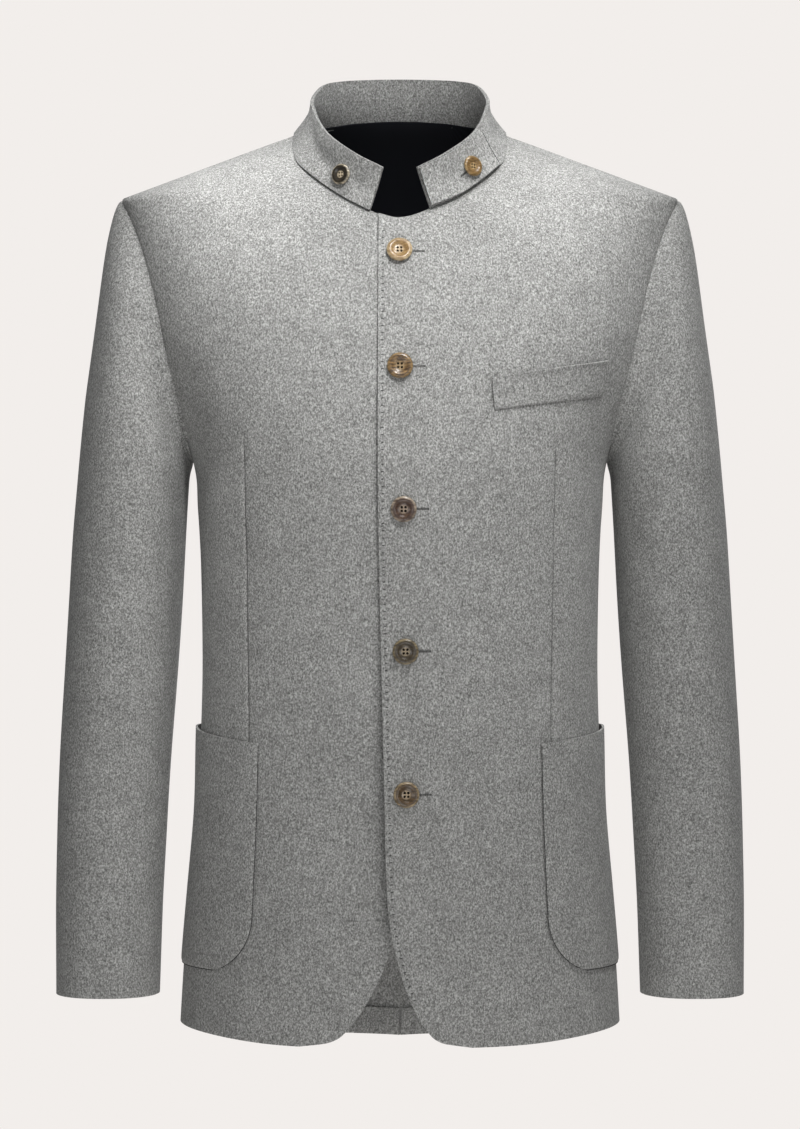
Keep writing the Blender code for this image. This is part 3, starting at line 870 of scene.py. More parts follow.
FRONT_NECK = table(
    Neck, (-0.2, -17, -75.5), (0.0, 0, -79), (0.25, 23, -72), (0.55, 55, -53), (0.8, 79, -31),
    (0.9, 83.3, -16), (1.0, 83, -2),
)
BACK_NECK = table(
    Neck, (0.0, 0, 15), (0.25, 22, 14.2), (0.5, 44, 11.6), (0.75, 65, 6.4), (1.0, 83, -2),
)
SEAM_SINK = 0.75
SEAM_REACH = 1.5
SEAM_CALM = (2.0, 26.0)
UPPER_ROWS = 52
UPPER_FINE = (0.03, 0.08, 0.15)


def seam_shape(places: Array, seams: Sequence[SeamLine]) -> tuple[Array, Array]:
    """How seams shape the cloth beside them.

    Args:
        places: Points of a panel.
        seams: Its seams.

    Returns:
        The share of the panel's relief that stays, and the height to which the cloth sinks.
    """
    away = np.min([seam.distance(places) for seam in seams], axis=0)
    return ease(*SEAM_CALM, away), -SEAM_SINK * np.exp(-((away / SEAM_REACH) ** 2))


def upper_rows(last: float) -> Array:
    """Rows of a panel's grid from the underarm up to the last one."""
    return densified(0.0, float(last), UPPER_ROWS, (float(last),), UPPER_FINE)


@dataclass
class FrontPanel:
    """One front: a panel from its front edge round to the side seam, with a dart and a round hem corner."""

    form: BodyForm
    side: Side
    relief: Relief
    edges: tuple[FrontEdge, ...] = table(
        FrontEdge, (-733, -56, -79), (-729, -33, -55), (-719, -21, -41), (-698, -9, -26), (-672, 0, -13),
        (-636, 8, -2), (-587, 11, 7), (-540, 12, 13), (-300, 17, 17), (-60, 17, 17),
    )
    lap_lift: float = 2.7
    lap_full: float = 20.0
    lap_end: float = 50.0
    curl: float = 4.8
    curl_reach: float = 27.0
    curl_top: float = -400.0
    curl_full: float = -560.0
    curl_low: Pair = (-728.0, -655.0)
    pitch_at_hem: float = 70.0
    seam_at_hem: float = 112.0
    columns: int = 12
    neck_columns: int = 7
    side_columns: int = 5
    loop_rows: int = 9
    dart_top: Pair = (123.0, -246.0)
    dart_end: Pair = (120.0, -500.0)
    dart_sink: float = 1.75
    dart_reach: float = 0.75
    dart_point: float = 20.0
    dart_fade: Pair = (-640.0, -600.0)
    dart_hollow: float = 0.4
    dart_hollow_reach: float = 6.0
    relief_back: float = 30.0
    grid_columns: int = 85
    fine_columns: tuple = (0.025, 0.055, 0.09, 0.15)
    middle_rows: tuple = (0.2, 0.99, 80)
    last_rows: Pair = (0.996, 1.0)
    hem_rows: tuple = (
        0.0, 0.5, 1.0, 1.6, 2.3, 3.2, 4.2, 5.5, 7.2, 9.2, 11.5, 14.0, 17.0, 20.5, 24.5, 29.0, 34.0, 40.0,
        47.0, 55.0, 63.0, 71.0, 80.0, 90.0, 100.0,
    )
    cut: Cut = Cut(0.37, 0.75, 0.198)

    def __post_init__(self) -> None:
        """Reads the tables and settles the lines that the cloth follows."""
        self.edge = Curve(self.edges, self.side.word)
        self.neck_x, self.neck_z = Curve(FRONT_NECK, "x"), Curve(FRONT_NECK, "z")
        self.pitch_phi, self.pitch_z = (float(v) for v in self.form.loop(np.array(self.form.pitch_turn)))
        rise = np.linspace(0.0, 1.0, SEAM_SAMPLES)
        side = np.full(SEAM_SAMPLES, self.columns + self.side_columns)
        seam = self.form.round_point(*self.bare_lower(side, rise))
        self.seams = (self.form.armhole(), self.form.shoulder(), SeamLine(seam), SeamLine(self.neckline()))
        self.dart_column = float(self.column_of(np.array(self.dart_top[0]), np.array(1.0)))

    def neckline(self) -> Array:
        """Points of the neckline."""
        at = np.linspace(FRONT_NECK[0].at, 1.0, SEAM_SAMPLES)
        return self.form.face_point(self.neck_x(at), self.neck_z(at), Face.FRONT)

    def row_ends(self, rise: Array) -> tuple[Array, Array]:
        """Angles of the front edge and of the armhole's pitch on some rows."""
        z = mix(self.form.hem_levels[0].level, self.pitch_z, rise)
        edge = angle_of(self.form.face_point(-self.edge(z), z, Face.FRONT))
        return edge, mix(self.pitch_at_hem, self.pitch_phi, rise)

    def column_of(self, x: Array, rise: Array) -> Array:
        """Column that passes a distance from the centre line on some rows."""
        z = mix(self.form.hem_levels[0].level, self.pitch_z, rise)
        edge, pitch = self.row_ends(rise)
        return self.columns * (angle_of(self.form.face_point(x, z, Face.FRONT)) - edge) / (pitch - edge)

    def bare_lower(self, column: Array, rise: Array) -> tuple[Array, Array]:
        """Angles and heights of the panel from the hem to the underarm."""
        edge, pitch = self.row_ends(rise)
        phi = mix(edge, pitch, np.minimum(column, self.columns) / self.columns)
        z = mix(self.form.hem(np.abs(phi)), self.pitch_z, rise)
        beyond = np.clip(column - self.columns, 0.0, self.side_columns) / self.side_columns
        turn = mix(self.form.pitch_turn, self.form.seam_turn, beyond)
        top_phi, top_z = self.form.loop(turn)
        low_phi = mix(self.pitch_at_hem, self.seam_at_hem, beyond)
        side_z = mix(self.form.hem(low_phi), top_z, rise)
        at_side = column > self.columns
        return np.where(at_side, mix(low_phi, top_phi, rise), phi), np.where(at_side, side_z, z)

    def lower(self, column: Array, rise: Array) -> Array:
        """Points from the hem to the underarm; the columns bend so that one follows the dart."""
        z = mix(self.form.hem_levels[0].level, self.pitch_z, rise)
        shift = self.column_of(self.dart_line(z), rise) - self.dart_column
        inner = np.clip(column / self.dart_column, 0.0, 1.0)
        outer = np.clip((self.columns - column) / (self.columns - self.dart_column), 0.0, 1.0)
        column = column + shift * np.minimum(inner, outer)
        return self.dressed(self.form.round_point(*self.bare_lower(column, rise)))

    def upper(self, column: Array, row: Array) -> Array:
        """Points from the underarm to the neckline and the shoulder."""
        last, full = np.full_like(column, self.columns), np.ones_like(column)
        low = self.form.round_point(*self.bare_lower(column, full))
        low_end = self.form.round_point(*self.bare_lower(last, full))
        turn, rise = self.form.climb(row / self.loop_rows)
        hole = self.form.loop_point(turn)
        at = mix(FRONT_NECK[0].at, 1.0, np.minimum(column / self.neck_columns, 1.0))
        down = np.clip((column - self.neck_columns) / (self.columns - self.neck_columns), 0.0, 1.0)
        top = self.form.top_line(down, self.neck_x(at), self.neck_z(at))
        bend = ease(self.neck_columns, self.columns, column)
        points = self.form.between((low, low_end, hole), top, rise, bend, Face.FRONT)
        return self.dressed(np.where((column >= self.columns)[:, None], hole, points))

    def lift(self, points: Array) -> Array:
        """Height of the upper front over the lower one, with its edge curling outwards lower down."""
        if self.side is Side.RIGHT:
            return 0.0 * points[:, 0]
        x, z = points[:, 0], points[:, 2]
        lap = self.lap_lift * (1.0 - ease(self.lap_full, self.lap_end, x))
        near = 1.0 - ease(0.0, self.curl_reach, x + self.edge(z))
        return lap + self.curl * near * ease(self.curl_top, self.curl_full, z) * ease(*self.curl_low, z)

    def dart_line(self, z: Array) -> Array:
        """Distance of the dart from the centre line at some heights."""
        return mix(self.dart_end[0], self.dart_top[0], ease(self.dart_end[1], self.dart_top[1], z))

    def dart(self, points: Array) -> Array:
        """Height to which the dart draws the cloth in."""
        x, z = points[:, 0], points[:, 2]
        aside = x - self.dart_line(z)
        top = self.dart_top[1]
        ends = ease(top, top - self.dart_point, z) * ease(*self.dart_fade, z) * (points[:, 1] < 0)
        groove = self.dart_sink * np.exp(-((aside / self.dart_reach) ** 2))
        hollow = self.dart_hollow * np.exp(-((aside / self.dart_hollow_reach) ** 2))
        return -ends * (groove + hollow)

    def height(self, points: Array) -> Array:
        """Height of the cloth over the plain form."""
        calm, sink = seam_shape(points, self.seams)
        shape = self.relief.height(points[:, 0], points[:, 2]) * (points[:, 1] < self.relief_back)
        return self.lift(points) + calm * shape + sink + self.dart(points)

    def dressed(self, points: Array, out: float = 0.0) -> Array:
        """Points of the cloth's outer face, or some way over it."""
        height = self.height(points) + self.form.cloth + out
        return points + self.form.normal(points) * height[:, None] - (0.0, self.form.seam / 2, 0.0)

    def outside(self, x: Array, z: Array, out: float = 0.0) -> Array:
        """Points over the outer face of the cloth, as seen from the front."""
        return self.dressed(self.form.face_point(x, z, Face.FRONT), out)

    def build(self, wall: ClothWall) -> bpy.types.Object:
        """Builds and dresses the panel."""
        shape = new_mesh()
        fine_at = (0.0, self.dart_column, float(self.columns), float(self.columns + self.side_columns))
        columns = densified(0.0, fine_at[-1], self.grid_columns, fine_at, self.fine_columns)
        low = np.array(self.hem_rows) / (self.pitch_z - self.form.hem_levels[0].level)
        rows = np.array([*low, *np.linspace(*self.middle_rows), *self.last_rows])
        lay_grid(shape, columns, rows, self.lower, self.side)
        lay_grid(shape, columns[columns <= self.columns], upper_rows(self.loop_rows), self.upper, self.side)
        return wall.make("front_" + self.side.word, shape, self.cut, "hung")


@dataclass
class BackPanel:
    """One back: from the centre back seam to the side seam, armhole, shoulder and neckline."""

    form: BodyForm
    side: Side
    relief: Relief
    columns: int = 10
    neck_columns: int = 5
    loop_rows: int = 9
    pitch_at_hem: float = 118.0
    seam_at_hem: float = 112.0
    grid_columns: int = 60
    fine_columns: tuple = (0.04, 0.1, 0.2)
    grid_rows: int = 84
    fine_rows: Pair = (0.002, 0.005)
    cut: Cut = Cut(0.24, 0.77, 0.152)

    def __post_init__(self) -> None:
        """Reads the tables and settles the seams."""
        self.neck_x, self.neck_z = Curve(BACK_NECK, "x"), Curve(BACK_NECK, "z")
        pitch = self.form.loop(np.array(360.0 - self.form.pitch_turn))
        self.pitch_phi, self.pitch_z = (float(v) for v in pitch)
        self.seam_phi, self.seam_z = (float(v) for v in self.form.loop(np.array(self.form.seam_turn)))
        rise = np.linspace(0.0, 1.0, SEAM_SAMPLES)
        side_seam = self.bare_lower(np.full(SEAM_SAMPLES, self.columns + 1.0), rise)
        first = 0.0 * rise
        middle = np.concatenate([self.bare_lower(first, rise), self.bare_upper(first, self.loop_rows * rise)])
        neck = self.form.face_point(self.neck_x(rise), self.neck_z(rise), Face.BACK)
        lines = (side_seam, middle, neck)
        self.seams = (self.form.armhole(), self.form.shoulder(), *(SeamLine(line) for line in lines))

    def bare_lower(self, column: Array, rise: Array) -> Array:
        """Points of the plain form from the hem to the underarm."""
        pitch = mix(self.pitch_at_hem, self.pitch_phi, rise)
        phi = mix(180.0, pitch, np.minimum(column, self.columns) / self.columns)
        z = mix(self.form.hem(phi), self.pitch_z, rise)
        beyond = np.clip(column - self.columns, 0.0, 1.0)
        seam_z = mix(self.form.hem(np.full_like(rise, self.seam_at_hem)), self.seam_z, rise)
        seam_phi = mix(self.seam_at_hem, self.seam_phi, rise)
        return self.form.round_point(mix(phi, seam_phi, beyond), mix(z, seam_z, beyond))

    def bare_upper(self, column: Array, row: Array) -> Array:
        """Points of the plain form from the underarm to the neckline and the shoulder."""
        low = self.bare_lower(column, np.ones_like(column))
        low_end = self.bare_lower(np.full_like(column, self.columns), np.ones_like(column))
        turn, rise = self.form.climb(row / self.loop_rows)
        hole = self.form.loop_point(360.0 - turn)
        at = np.minimum(column / self.neck_columns, 1.0)
        down = np.clip((column - self.neck_columns) / (self.columns - self.neck_columns), 0.0, 1.0)
        top = self.form.top_line(down, self.neck_x(at), self.neck_z(at))
        share = column / self.columns
        points = self.form.between((low, low_end, hole), top, rise, share, Face.BACK)
        return np.where((share >= 1.0)[:, None], hole, points)

    def height(self, points: Array) -> Array:
        """Height of the cloth over the plain form."""
        calm, sink = seam_shape(points, self.seams)
        return calm * self.relief.height(points[:, 0], points[:, 2]) + sink

    def dressed(self, points: Array, inside: float | None = None) -> Array:
        """Points of the cloth's outer face, or some way inside the cloth."""
        height = self.height(points) + (self.form.cloth if inside is None else -inside)
        apart = (self.form.middle_seam / 2, self.form.seam / 2, 0.0)
        return points + self.form.normal(points) * height[:, None] + apart

    def lower(self, column: Array, rise: Array) -> Array:
        """Points of the cloth from the hem to the underarm."""
        return self.dressed(self.bare_lower(column, rise))

    def upper(self, column: Array, row: Array) -> Array:
        """Points of the cloth from the underarm to the neckline and the shoulder."""
        return self.dressed(self.bare_upper(column, row))

    def build(self, wall: ClothWall) -> bpy.types.Object:
        """Builds and dresses the panel."""
        shape = new_mesh()
        ends = (0.0, float(self.columns), self.columns + 1.0)
        columns = densified(0.0, ends[-1], self.grid_columns, ends, self.fine_columns)
        rows = densified(0.0, 1.0, self.grid_rows, (0.0, 1.0), self.fine_rows)
        lay_grid(shape, columns, rows, self.lower, self.side)
        lay_grid(shape, columns[columns <= self.columns], upper_rows(self.loop_rows), self.upper, self.side)
        return wall.make("back_" + self.side.word, shape, self.cut, "hung")


@dataclass
class BackInside:
    """What shows inside the backs: the turned-up hem and the dark yoke lining."""

    backs: dict[Side, BackPanel]
    hem_depth: float = 23.0
    hem_wall: float = 1.6
    hem_open: float = 0.04
    hem_edge: float = 0.5
    hem_weave: Weave = Weave(50, (0.05, 0.15), 6, (0.5, 1.5))
    lining_wall: float = 1.0
    lining_gap: float = 1.1
    lining_edge: float = 0.3
    lining_ease: float = 0.35
    lining_ripple: Pair = (2.1, 0.5)
    lining_calm: float = 2.0
    lining_rise: float = 3.2
    lining_rise_rows: float = 1.5
    lining_grid: Grid = (73, 37)
    hem_cut: Cut = Cut(0.185, 0.024, 0.0041)
    lining_cut: Cut = Cut(0.42, 0.30, 0.101)

    def build_hems(self, wall: ClothWall) -> None:
        """Builds the turned-up hem of both backs."""
        for side, back in self.backs.items():
            inside = back.form.laid_on
            rows = self.hem_weave.rows(0.0, self.hem_depth)
            columns = self.hem_weave.columns(self.hem_open, back.columns + 1.0)

            def place(column: Array, rise: Array, back: BackPanel = back) -> Array:
                """Points of the hem over the inside of its back."""
                low = back.bare_lower(column, np.zeros_like(column))
                points = back.form.round_point(angle_of(low), low[:, 2] + rise)
                return back.dressed(points, inside)

            shape = new_mesh()
            lay_grid(shape, columns, rows, place, side)
            wall.make("back_hem_" + side.word, shape, self.hem_cut, "laid")

    def build_lining(self, wall: ClothWall) -> None:
        """Builds the yoke lining across both backs."""
        back = self.backs[Side.LEFT]
        first, second = self.lining_ripple

        def place(column: Array, row: Array) -> Array:
            """Points of the lining, with the right half mirrored."""
            points = back.bare_upper(np.abs(column), row)
            ripple = self.lining_ease * np.sin(column * first + row * second)
            ripple = ripple * ease(0.0, self.lining_calm, row)
            moved = points - back.form.normal(points) * (self.lining_gap + np.abs(ripple))[:, None]
            rise = self.lining_rise * ease(back.loop_rows - self.lining_rise_rows, back.loop_rows, row)
            moved = moved + rise[:, None] * UP
            return np.where((column < 0.0)[:, None], mirrored(moved), moved)

        shape = new_mesh()
        reach = back.columns - 1.0
        columns = np.linspace(-reach, reach, self.lining_grid[0])
        lay_grid(shape, columns, np.linspace(0.0, back.loop_rows, self.lining_grid[1]), place)
        wall.make("back_lining", shape, self.lining_cut, "laid")


# Collar


class CollarTop(NamedTuple):
    """Place of the collar's top edge."""

    at: float
    x: float
    y: float
    z: float


class CollarSeat(NamedTuple):
    """Height of the collar's lower edge over the neckline."""

    at: float
    rise: float


@dataclass
class Collar:
    """Stand collar with the throat tab folded back on its left end."""

    form: BodyForm
    fronts: dict[Side, FrontPanel]
    relief: Relief
    top: tuple[CollarTop, ...] = table(
        CollarTop, (0.0, 13, -89, -37), (0.2, 36, -80, -24), (0.42, 59, -53, -4), (0.62, 70, -11, 22),
        (0.7, 69, 11, 33), (0.79, 61, 31, 44.5), (0.86, 47, 43, 48.8), (0.93, 25, 50.5, 50.8),
        (1.0, 0, 53, 51.5),
    )
    seats: tuple[CollarSeat, ...] = table(
        CollarSeat, (0.0, 1.0), (0.36, 1.2), (0.43, 0.2), (0.5, -0.3), (0.56, 0.3), (0.62, 1.2),
        (0.75, 1.3), (1.0, 0.8),
    )
    wall: float = 3.0
    wall_edge: float = 0.7
    weave: Weave = Weave(220, (0.003, 0.008), 16, (0.012, 0.03))
    calm_low: float = 0.12
    calm_high: float = 0.06
    end: float = 0.25
    seat_out: float = 1.7
    bow: float = -1.4
    front_share: float = 0.6
    run: float = 215.0
    rise: float = 44.0
    step: float = 0.01
    tab_wall: float = 2.2
    tab_edge: float = 0.6
    tab_weave: Weave = Weave(30, (0.008, 0.02), 16, (0.012, 0.03))
    tab_start: float = 0.004
    tab_low: float = 0.022
    tab_high: float = 0.97
    tab_end_low: float = 0.43
    tab_end_high: float = 0.45
    tab_corner: float = 0.21
    tab_corner_cut: float = 0.03
    button_calm: tuple = (7.0, 20.0)
    cut: Cut = Cut(0.43, 0.05, 0.0162)
    tab_cut: Cut = Cut(0.064, 0.043, 0.0025)

    def __post_init__(self) -> None:
        """Reads the tables."""
        self.button_spots = {Side.RIGHT: (0.205, 0.4), Side.LEFT: (0.28, 0.38)}
        self.top_edge = [Curve(self.top, axis) for axis in "xyz"]
        self.front_neck = Curve(FRONT_NECK, "x"), Curve(FRONT_NECK, "z")
        self.back_neck = Curve(BACK_NECK, "x"), Curve(BACK_NECK, "z")
        self.seat_rise = Curve(self.seats, "rise")

    def base(self, at: Array, side: Side) -> Array:
        """Points of the collar seam from the front end to the centre back."""
        place = mix(self.end, 1.0, np.minimum(at / self.front_share, 1.0))
        front = self.form.face_point(self.front_neck[0](place), self.front_neck[1](place), Face.FRONT)
        lift = self.fronts[side].lift(front)
        front = front + self.form.normal(front) * lift[:, None]
        place = mix(1.0, 0.0, np.clip((at - self.front_share) / (1.0 - self.front_share), 0.0, 1.0))
        back = self.form.face_point(self.back_neck[0](place), self.back_neck[1](place), Face.BACK)
        points = np.where((at <= self.front_share)[:, None], front, back)
        away = unit(points * FLAT) * self.seat_out
        return points + away + self.seat_rise(at)[:, None] * UP

    def point(self, at: Array, height: Array, side: Side) -> Array:
        """Points of the collar's plain inner face."""
        low = self.base(at, side)
        high = np.stack([curve(at) for curve in self.top_edge], -1)
        bow = unit(low * FLAT) * (self.bow * np.sin(np.pi * height))[:, None]
        return mix(low, high, height[:, None]) + bow

    def normal(self, at: Array, height: Array, side: Side) -> Array:
        """Outward directions of the collar."""
        after, before = np.minimum(at + self.step, 1.0), np.maximum(at - self.step, 0.0)
        above, below = np.minimum(height + self.step, 1.0), np.maximum(height - self.step, 0.0)
        along = self.point(after, height, side) - self.point(before, height, side)
        up = self.point(at, above, side) - self.point(at, below, side)
        return unit(np.cross(along, up))

    def half(self, at: Array, height: Array, side: Side, out: float) -> Array:
        """Points over one half of the collar, worked out as the left one."""
        shape = self.relief.height(side.value * at * self.run, height * self.rise)
        calm = ease(0.0, self.calm_low, height) * ease(0.0, self.calm_high, 1.0 - height)
        spot = self.button_spots[side]
        away = np.hypot((at - spot[0]) * self.run, (height - spot[1]) * self.rise)
        calm = calm * ease(*self.button_calm, away)
        lift = (out + shape * calm)[:, None]
        return self.point(at, height, side) + self.normal(at, height, side) * lift

    def whole(self, run: Array, height: Array) -> Array:
        """Points of the collar from its right end at -1 to its left end at 1."""
        at = 1.0 - np.abs(run)
        left = self.half(at, height, Side.LEFT, self.wall)
        right = mirrored(self.half(at, height, Side.RIGHT, self.wall))
        return np.where((run < 0.0)[:, None], right, left)

    def tab(self, share: Array, height: Array) -> Array:
        """Points of the tab on the collar, its end cut to a round upper corner."""
        corner = np.clip((height - (self.tab_high - self.tab_corner)) / self.tab_corner, 0.0, 1.0)
        cut = self.tab_corner_cut * (1.0 - np.sqrt(1.0 - corner**2))
        end = mix(self.tab_end_low, self.tab_end_high, height) - cut
        at = mix(self.tab_start, end, share)
        return self.half(at, height, Side.LEFT, self.wall + self.form.laid_on + self.tab_wall)

    def build(self, wall: ClothWall, tab_wall: ClothWall) -> None:
        """Builds the collar and its tab."""
        shape = new_mesh()
        lay_grid(shape, self.weave.columns(-1.0, 1.0), self.weave.rows(0.0, 1.0), self.whole)
        wall.make("collar", shape, self.cut, "hung")
        shape = new_mesh()
        rows = self.tab_weave.rows(self.tab_low, self.tab_high)
        lay_grid(shape, self.tab_weave.columns(0.0, 1.0), rows, self.tab)
        tab_wall.make("collar_tab", shape, self.tab_cut, "folded", rests_on=["collar"])


# Sleeves


class SleeveRing(NamedTuple):
    """Level section of the sleeve."""

    at: float
    inner: float
    outer: float
    centre: float
    depth: float


class SleeveHead(NamedTuple):
    """How the sleeve head leaves the armhole and meets the first level section."""

    at: float
    leave: float
    arrive: float


@dataclass
class Sleeve:
    """Two-piece sleeve, set into the armhole."""

    form: BodyForm
    side: Side
    relief: Relief
    rings: tuple[SleeveRing, ...] = table(
        SleeveRing, (-700, 197, 277, -27, 49), (-628, 195, 278, -20, 52), (-570, 192, 277, -14, 55),
        (-513, 189, 275, -8, 59), (-450, 185, 272, -3, 63), (-382, 181, 269, 1, 67),
        (-330, 178, 266, 2, 70), (-285, 175, 262, 3, 72),
    )
    head: tuple[SleeveHead, ...] = table(
        SleeveHead, (0, 10, 105), (45, 22, 95), (90, 34, 78), (135, 18, 34), (180, 4, 7),
    )
    roundness: float = 2.2
    first_level: float = -285.0
    next_level: float = -330.0
    cuff_level: float = -700.0
    head_out: tuple = (0.967, 0.0, -0.253)
    head_puff: float = 0.25
    underarm_turn: float = 110.0
    seat: float = 0.4
    underarm_seat: float = 4.4
    tuck: float = 4.0
    tuck_sink: float = 2.3
    tuck_row: float = -0.05
    front_seam: float = 165.0
    back_seam: float = 240.0
    seam_turn: float = 0.05
    girth_step: float = 0.87
    axis_x: float = 213.0
    slope_turn: float = 1.0
    slope_row: float = 0.004
    seam_samples: int = 61
    tuck_rows: int = 4
    upper_weave: Weave = Weave(76, (0.7, 1.8, 3.2), 110, (0.003, 0.008))
    under_weave: Weave = Weave(22, (0.7, 1.8, 3.2), 110, (0.003, 0.008))
    upper_cut: Cut = Cut(0.27, 0.65, 0.152)
    under_cut: Cut = Cut(0.10, 0.45, 0.035)

    def __post_init__(self) -> None:
        """Reads the tables and settles the seams."""
        self.ring = {word: Curve(self.rings, word) for word in ("inner", "outer", "centre", "depth")}
        self.leave, self.arrive = Curve(self.head, "leave"), Curve(self.head, "arrive")
        rows = np.linspace(0.0, 2.0, self.seam_samples)
        lines = [self.bare(0.0 * rows + turn, rows) for turn in (self.front_seam, self.back_seam)]
        turns = np.linspace(0.0, 360.0, LOOP_SAMPLES)
        lines.append(self.bare(turns, 0.0 * turns))
        self.seams = [SeamLine(line) for line in lines]

    def level(self, turn: Array, z: Array) -> Array:
        """Points of level sections; turn 0 is outermost, 90 in front and 180 at the underarm."""
        angle = np.radians(turn)
        power = 2.0 / self.roundness
        across = np.sign(np.cos(angle)) * np.abs(np.cos(angle)) ** power
        along = np.sign(np.sin(angle)) * np.abs(np.sin(angle)) ** power
        inner, outer = self.ring["inner"](z), self.ring["outer"](z)
        x = (inner + outer) / 2 + (outer - inner) / 2 * across
        return np.stack([x, self.ring["centre"](z) - self.ring["depth"](z) * along, z], -1)

    def bare(self, turn: Array, row: Array) -> Array:
        """Points of the plain sleeve; rows run over the head to 1 and down to the cuff at 2."""
        around = turn % 360.0
        down = np.minimum(around, 360.0 - around)
        fall = ease(self.underarm_turn, 180.0, down)[:, None]
        puff = np.stack([0.0 * around, -np.sin(np.radians(around)) * self.head_puff, 0.0 * around], -1)
        out = unit((np.array(self.head_out) + puff) * (1.0 - fall) - UP * fall)
        seat = mix(self.seat, self.underarm_seat, np.sin(np.radians(down / 2)))
        start = self.form.loop_point(around) + np.stack([seat, 0.0 * seat, 0.0 * seat], -1)
        end = self.level(around, np.full_like(around, self.first_level))
        below = self.level(around, np.full_like(around, self.next_level))
        first = start + out * self.leave(down)[:, None]
        second = end + unit(end - below) * self.arrive(down)[:, None]
        share = np.clip(row, 0.0, 1.0)[:, None]
        rest = 1.0 - share
        curve = start * rest**3 + first * 3 * rest**2 * share + second * 3 * rest * share**2 + end * share**3
        under = self.form.loop_point(around)
        under = under - self.form.normal(under) * self.tuck_sink - out * self.tuck
        curve = mix(curve, under, np.clip(row / self.tuck_row, 0.0, 1.0)[:, None])
        z = mix(self.first_level, self.cuff_level, np.clip(row - 1.0, 0.0, 1.0))
        return np.where((row < 1.0)[:, None], curve, self.level(around, z))

    def place(self, turn: Array, row: Array) -> Array:
        """Points of the sleeve's cloth."""
        points = self.bare(turn, row)
        around = self.bare(turn + self.slope_turn, row) - self.bare(turn - self.slope_turn, row)
        below = np.minimum(row + self.slope_row, 2.0)
        above = np.maximum(row - self.slope_row, self.tuck_row)
        down = self.bare(turn, below) - self.bare(turn, above)
        normal = unit(np.cross(around, down))
        axis = np.stack([0.0 * row + self.axis_x, self.ring["centre"](points[:, 2]), points[:, 2]], -1)
        normal = normal * np.sign(((points - axis) * normal).sum(-1))[:, None]
        calm, sink = seam_shape(points, self.seams)
        signed = np.where(turn > self.back_seam, turn - 360.0, turn)
        height = calm * self.relief.height(signed * self.girth_step, points[:, 2]) + sink
        return points + normal * (height + self.form.cloth)[:, None]

    def build(self, wall: ClothWall) -> None:
        """Builds the upper and the under sleeve."""
        cuff = self.rings[0]
        middle = (self.side.value * (cuff.inner + cuff.outer) / 2, cuff.centre)
        tuck = np.linspace(self.tuck_row, 0.0, self.tuck_rows)[:-1]
        under = (self.front_seam + self.seam_turn, self.back_seam - self.seam_turn)
        upper = (self.back_seam - 360.0 + self.seam_turn, self.front_seam - self.seam_turn)
        for word, ends, weave, cut in (
            ("upper", upper, self.upper_weave, self.upper_cut),
            ("under", under, self.under_weave, self.under_cut),
        ):
            shape = new_mesh()
            rows = np.concatenate([tuck, weave.rows(0.0, 2.0)])
            lay_grid(shape, weave.columns(*ends), rows, self.place, self.side)
            wall.make(f"{word}_sleeve_{self.side.word}", shape, cut, "hung", middle)


# Pockets


